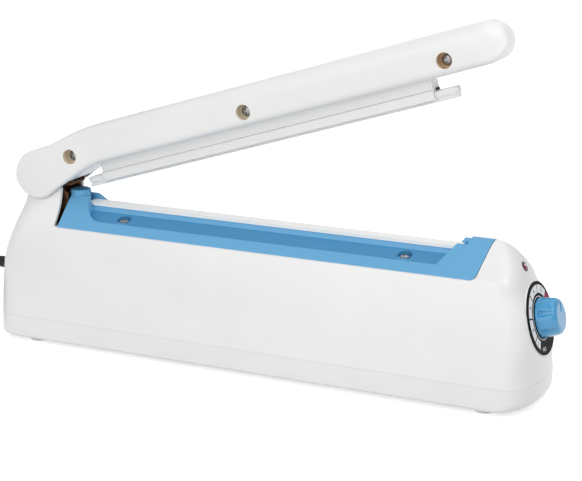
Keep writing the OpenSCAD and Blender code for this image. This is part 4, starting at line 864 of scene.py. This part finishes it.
class SEALER_OT_works(Operator):
    """Finish the pieces inside the body and the hinge"""
    bl_idname = "sealer.works"
    bl_label = "Works"

    # Each spring, the joint that shortens it, and the share of its length that is left at the joint's limit
    springs = (("return_spring", "arm_hinge", 0.83), ("plunger_spring", "plunger_slide", 0.56))

    # Pieces of zinc plated steel
    plated = ("terminal_screws", "transformer_strap", "transformer_screws", "board_screws",
              "potentiometer_shaft", "microswitch_lever", "microswitch_screws", "bracket_screws", "pivot_pin",
              "pivot_clips", "press_bar_screws", "clamp_screws")

    def hinge(self):
        """Springs, each on a mesh of its own, and the plated and sintered pieces."""
        wire = worked_metal("Drawn spring wire", linear("9fa2a6"), rough=0.25, size=0.4)
        for node, joint, keep in self.springs:
            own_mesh(dress(node, wire, 0))
        zinc = worked_metal("Zinc plated steel", linear("b2b4b8"), rough=0.3, size=0.7)
        for node in self.plated:
            self.paint(node, zinc)
        self.paint("pivot_bushes", worked_metal("Sintered bronze", linear("a88045"), rough=0.5, size=0.4))

    def heater(self):
        """Heating wire and what carries it."""
        self.paint("heating_wire",
                   worked_metal("Rolled resistance alloy", linear("a8a39e"), rough=0.35, size=0.5))
        self.paint("insulation_strip", coated_cloth("Tan glass cloth", linear("cbb98c")))
        self.paint("element_bar", worked_metal("Bare aluminium bar", linear("d8dadc"), rough=0.4, size=0.6))
        self.paint("wire_terminals", worked_metal("Turned brass", linear("c29f4d"), rough=0.28, size=0.6))

    def transformer(self):
        """Core, bobbin and winding."""
        self.paint("transformer_core", banded(
            "Varnished laminations", linear("5c5f63"), pitch=1.0, way="Y", metallic=0.6, rough=0.5))
        self.paint("transformer_bobbin",
                   moulded_abs("Natural nylon bobbin", linear("e0d6b8"), rough=0.5, coat=0.0))
        self.paint("transformer_winding", banded(
            "Enamelled copper turns", linear("b8652f"), pitch=0.9, way="Z", metallic=0.9, rough=0.35))

    def timer(self):
        """Board with its parts, the switch and the leads."""
        self.paint("timer_board", moulded_abs(
            "Epoxy glass board", linear("33734a"), rough=0.45, coat=0.1, pitch=1.4, height=0.03, depth=0.2))
        self.paint("timer_relay", moulded_abs("Blue relay case", linear("2b579e"), rough=0.35))
        self.paint("timer_capacitors", moulded_abs("Shrink sleeve", linear("252a38"), rough=0.35))
        self.paint("potentiometer", worked_metal("Pressed timer case", linear("8f9499"), rough=0.4, size=0.8))
        self.paint("microswitch", moulded_abs("Black phenolic case", linear("1c1c1e"), rough=0.45, coat=0.0))
        self.paint("cord_clamp", moulded_abs("Grey nylon clamp", linear("c6c8ca"), rough=0.5, coat=0.0))
        self.paint("inner_leads", soft_rubber("Insulated lead", linear("b3362c"), rough=0.4))

    def paint(self, node, material):
        """Give a solid its material."""
        clothe(frame["nodes"][node], material)

    def execute(self, context):
        self.hinge()
        self.heater()
        self.transformer()
        self.timer()
        return {"FINISHED"}


class SEALER_PT_panel(Panel):
    """Lists the steps that dress the sealer"""
    bl_idname = "SEALER_PT_panel"
    bl_label = "Hand Impulse Sealer"
    bl_space_type = "VIEW_3D"
    bl_region_type = "UI"
    bl_category = "Sealer"

    def draw(self, context):
        for step in STEPS:
            self.layout.operator(step.bl_idname)
        for group in (context.scene.sealer_sizes, context.scene.sealer_colours):
            for name in group.__annotations__:
                self.layout.prop(group, name)


STEPS = (SEALER_OT_stage, SEALER_OT_cord, SEALER_OT_body, SEALER_OT_cover, SEALER_OT_arm, SEALER_OT_dial,
         SEALER_OT_works)
CLASSES = (SealerColours, SealerSizes, *STEPS, SEALER_PT_panel)


def register():
    """Add the classes and the scene's settings."""
    for kind in CLASSES:
        bpy.utils.register_class(kind)
    bpy.types.Scene.sealer_colours = PointerProperty(type=SealerColours)
    bpy.types.Scene.sealer_sizes = PointerProperty(type=SealerSizes)


def unregister():
    """Take the settings and the classes away."""
    del bpy.types.Scene.sealer_sizes
    del bpy.types.Scene.sealer_colours
    for kind in reversed(CLASSES):
        bpy.utils.unregister_class(kind)


def main():
    """Dress the sealer step by step."""
    register()
    bpy.ops.sealer.stage()
    bpy.ops.sealer.cord()
    bpy.ops.sealer.body()
    bpy.ops.sealer.cover()
    bpy.ops.sealer.arm()
    bpy.ops.sealer.dial()
    bpy.ops.sealer.works()


if __name__ == "__main__":
    main()
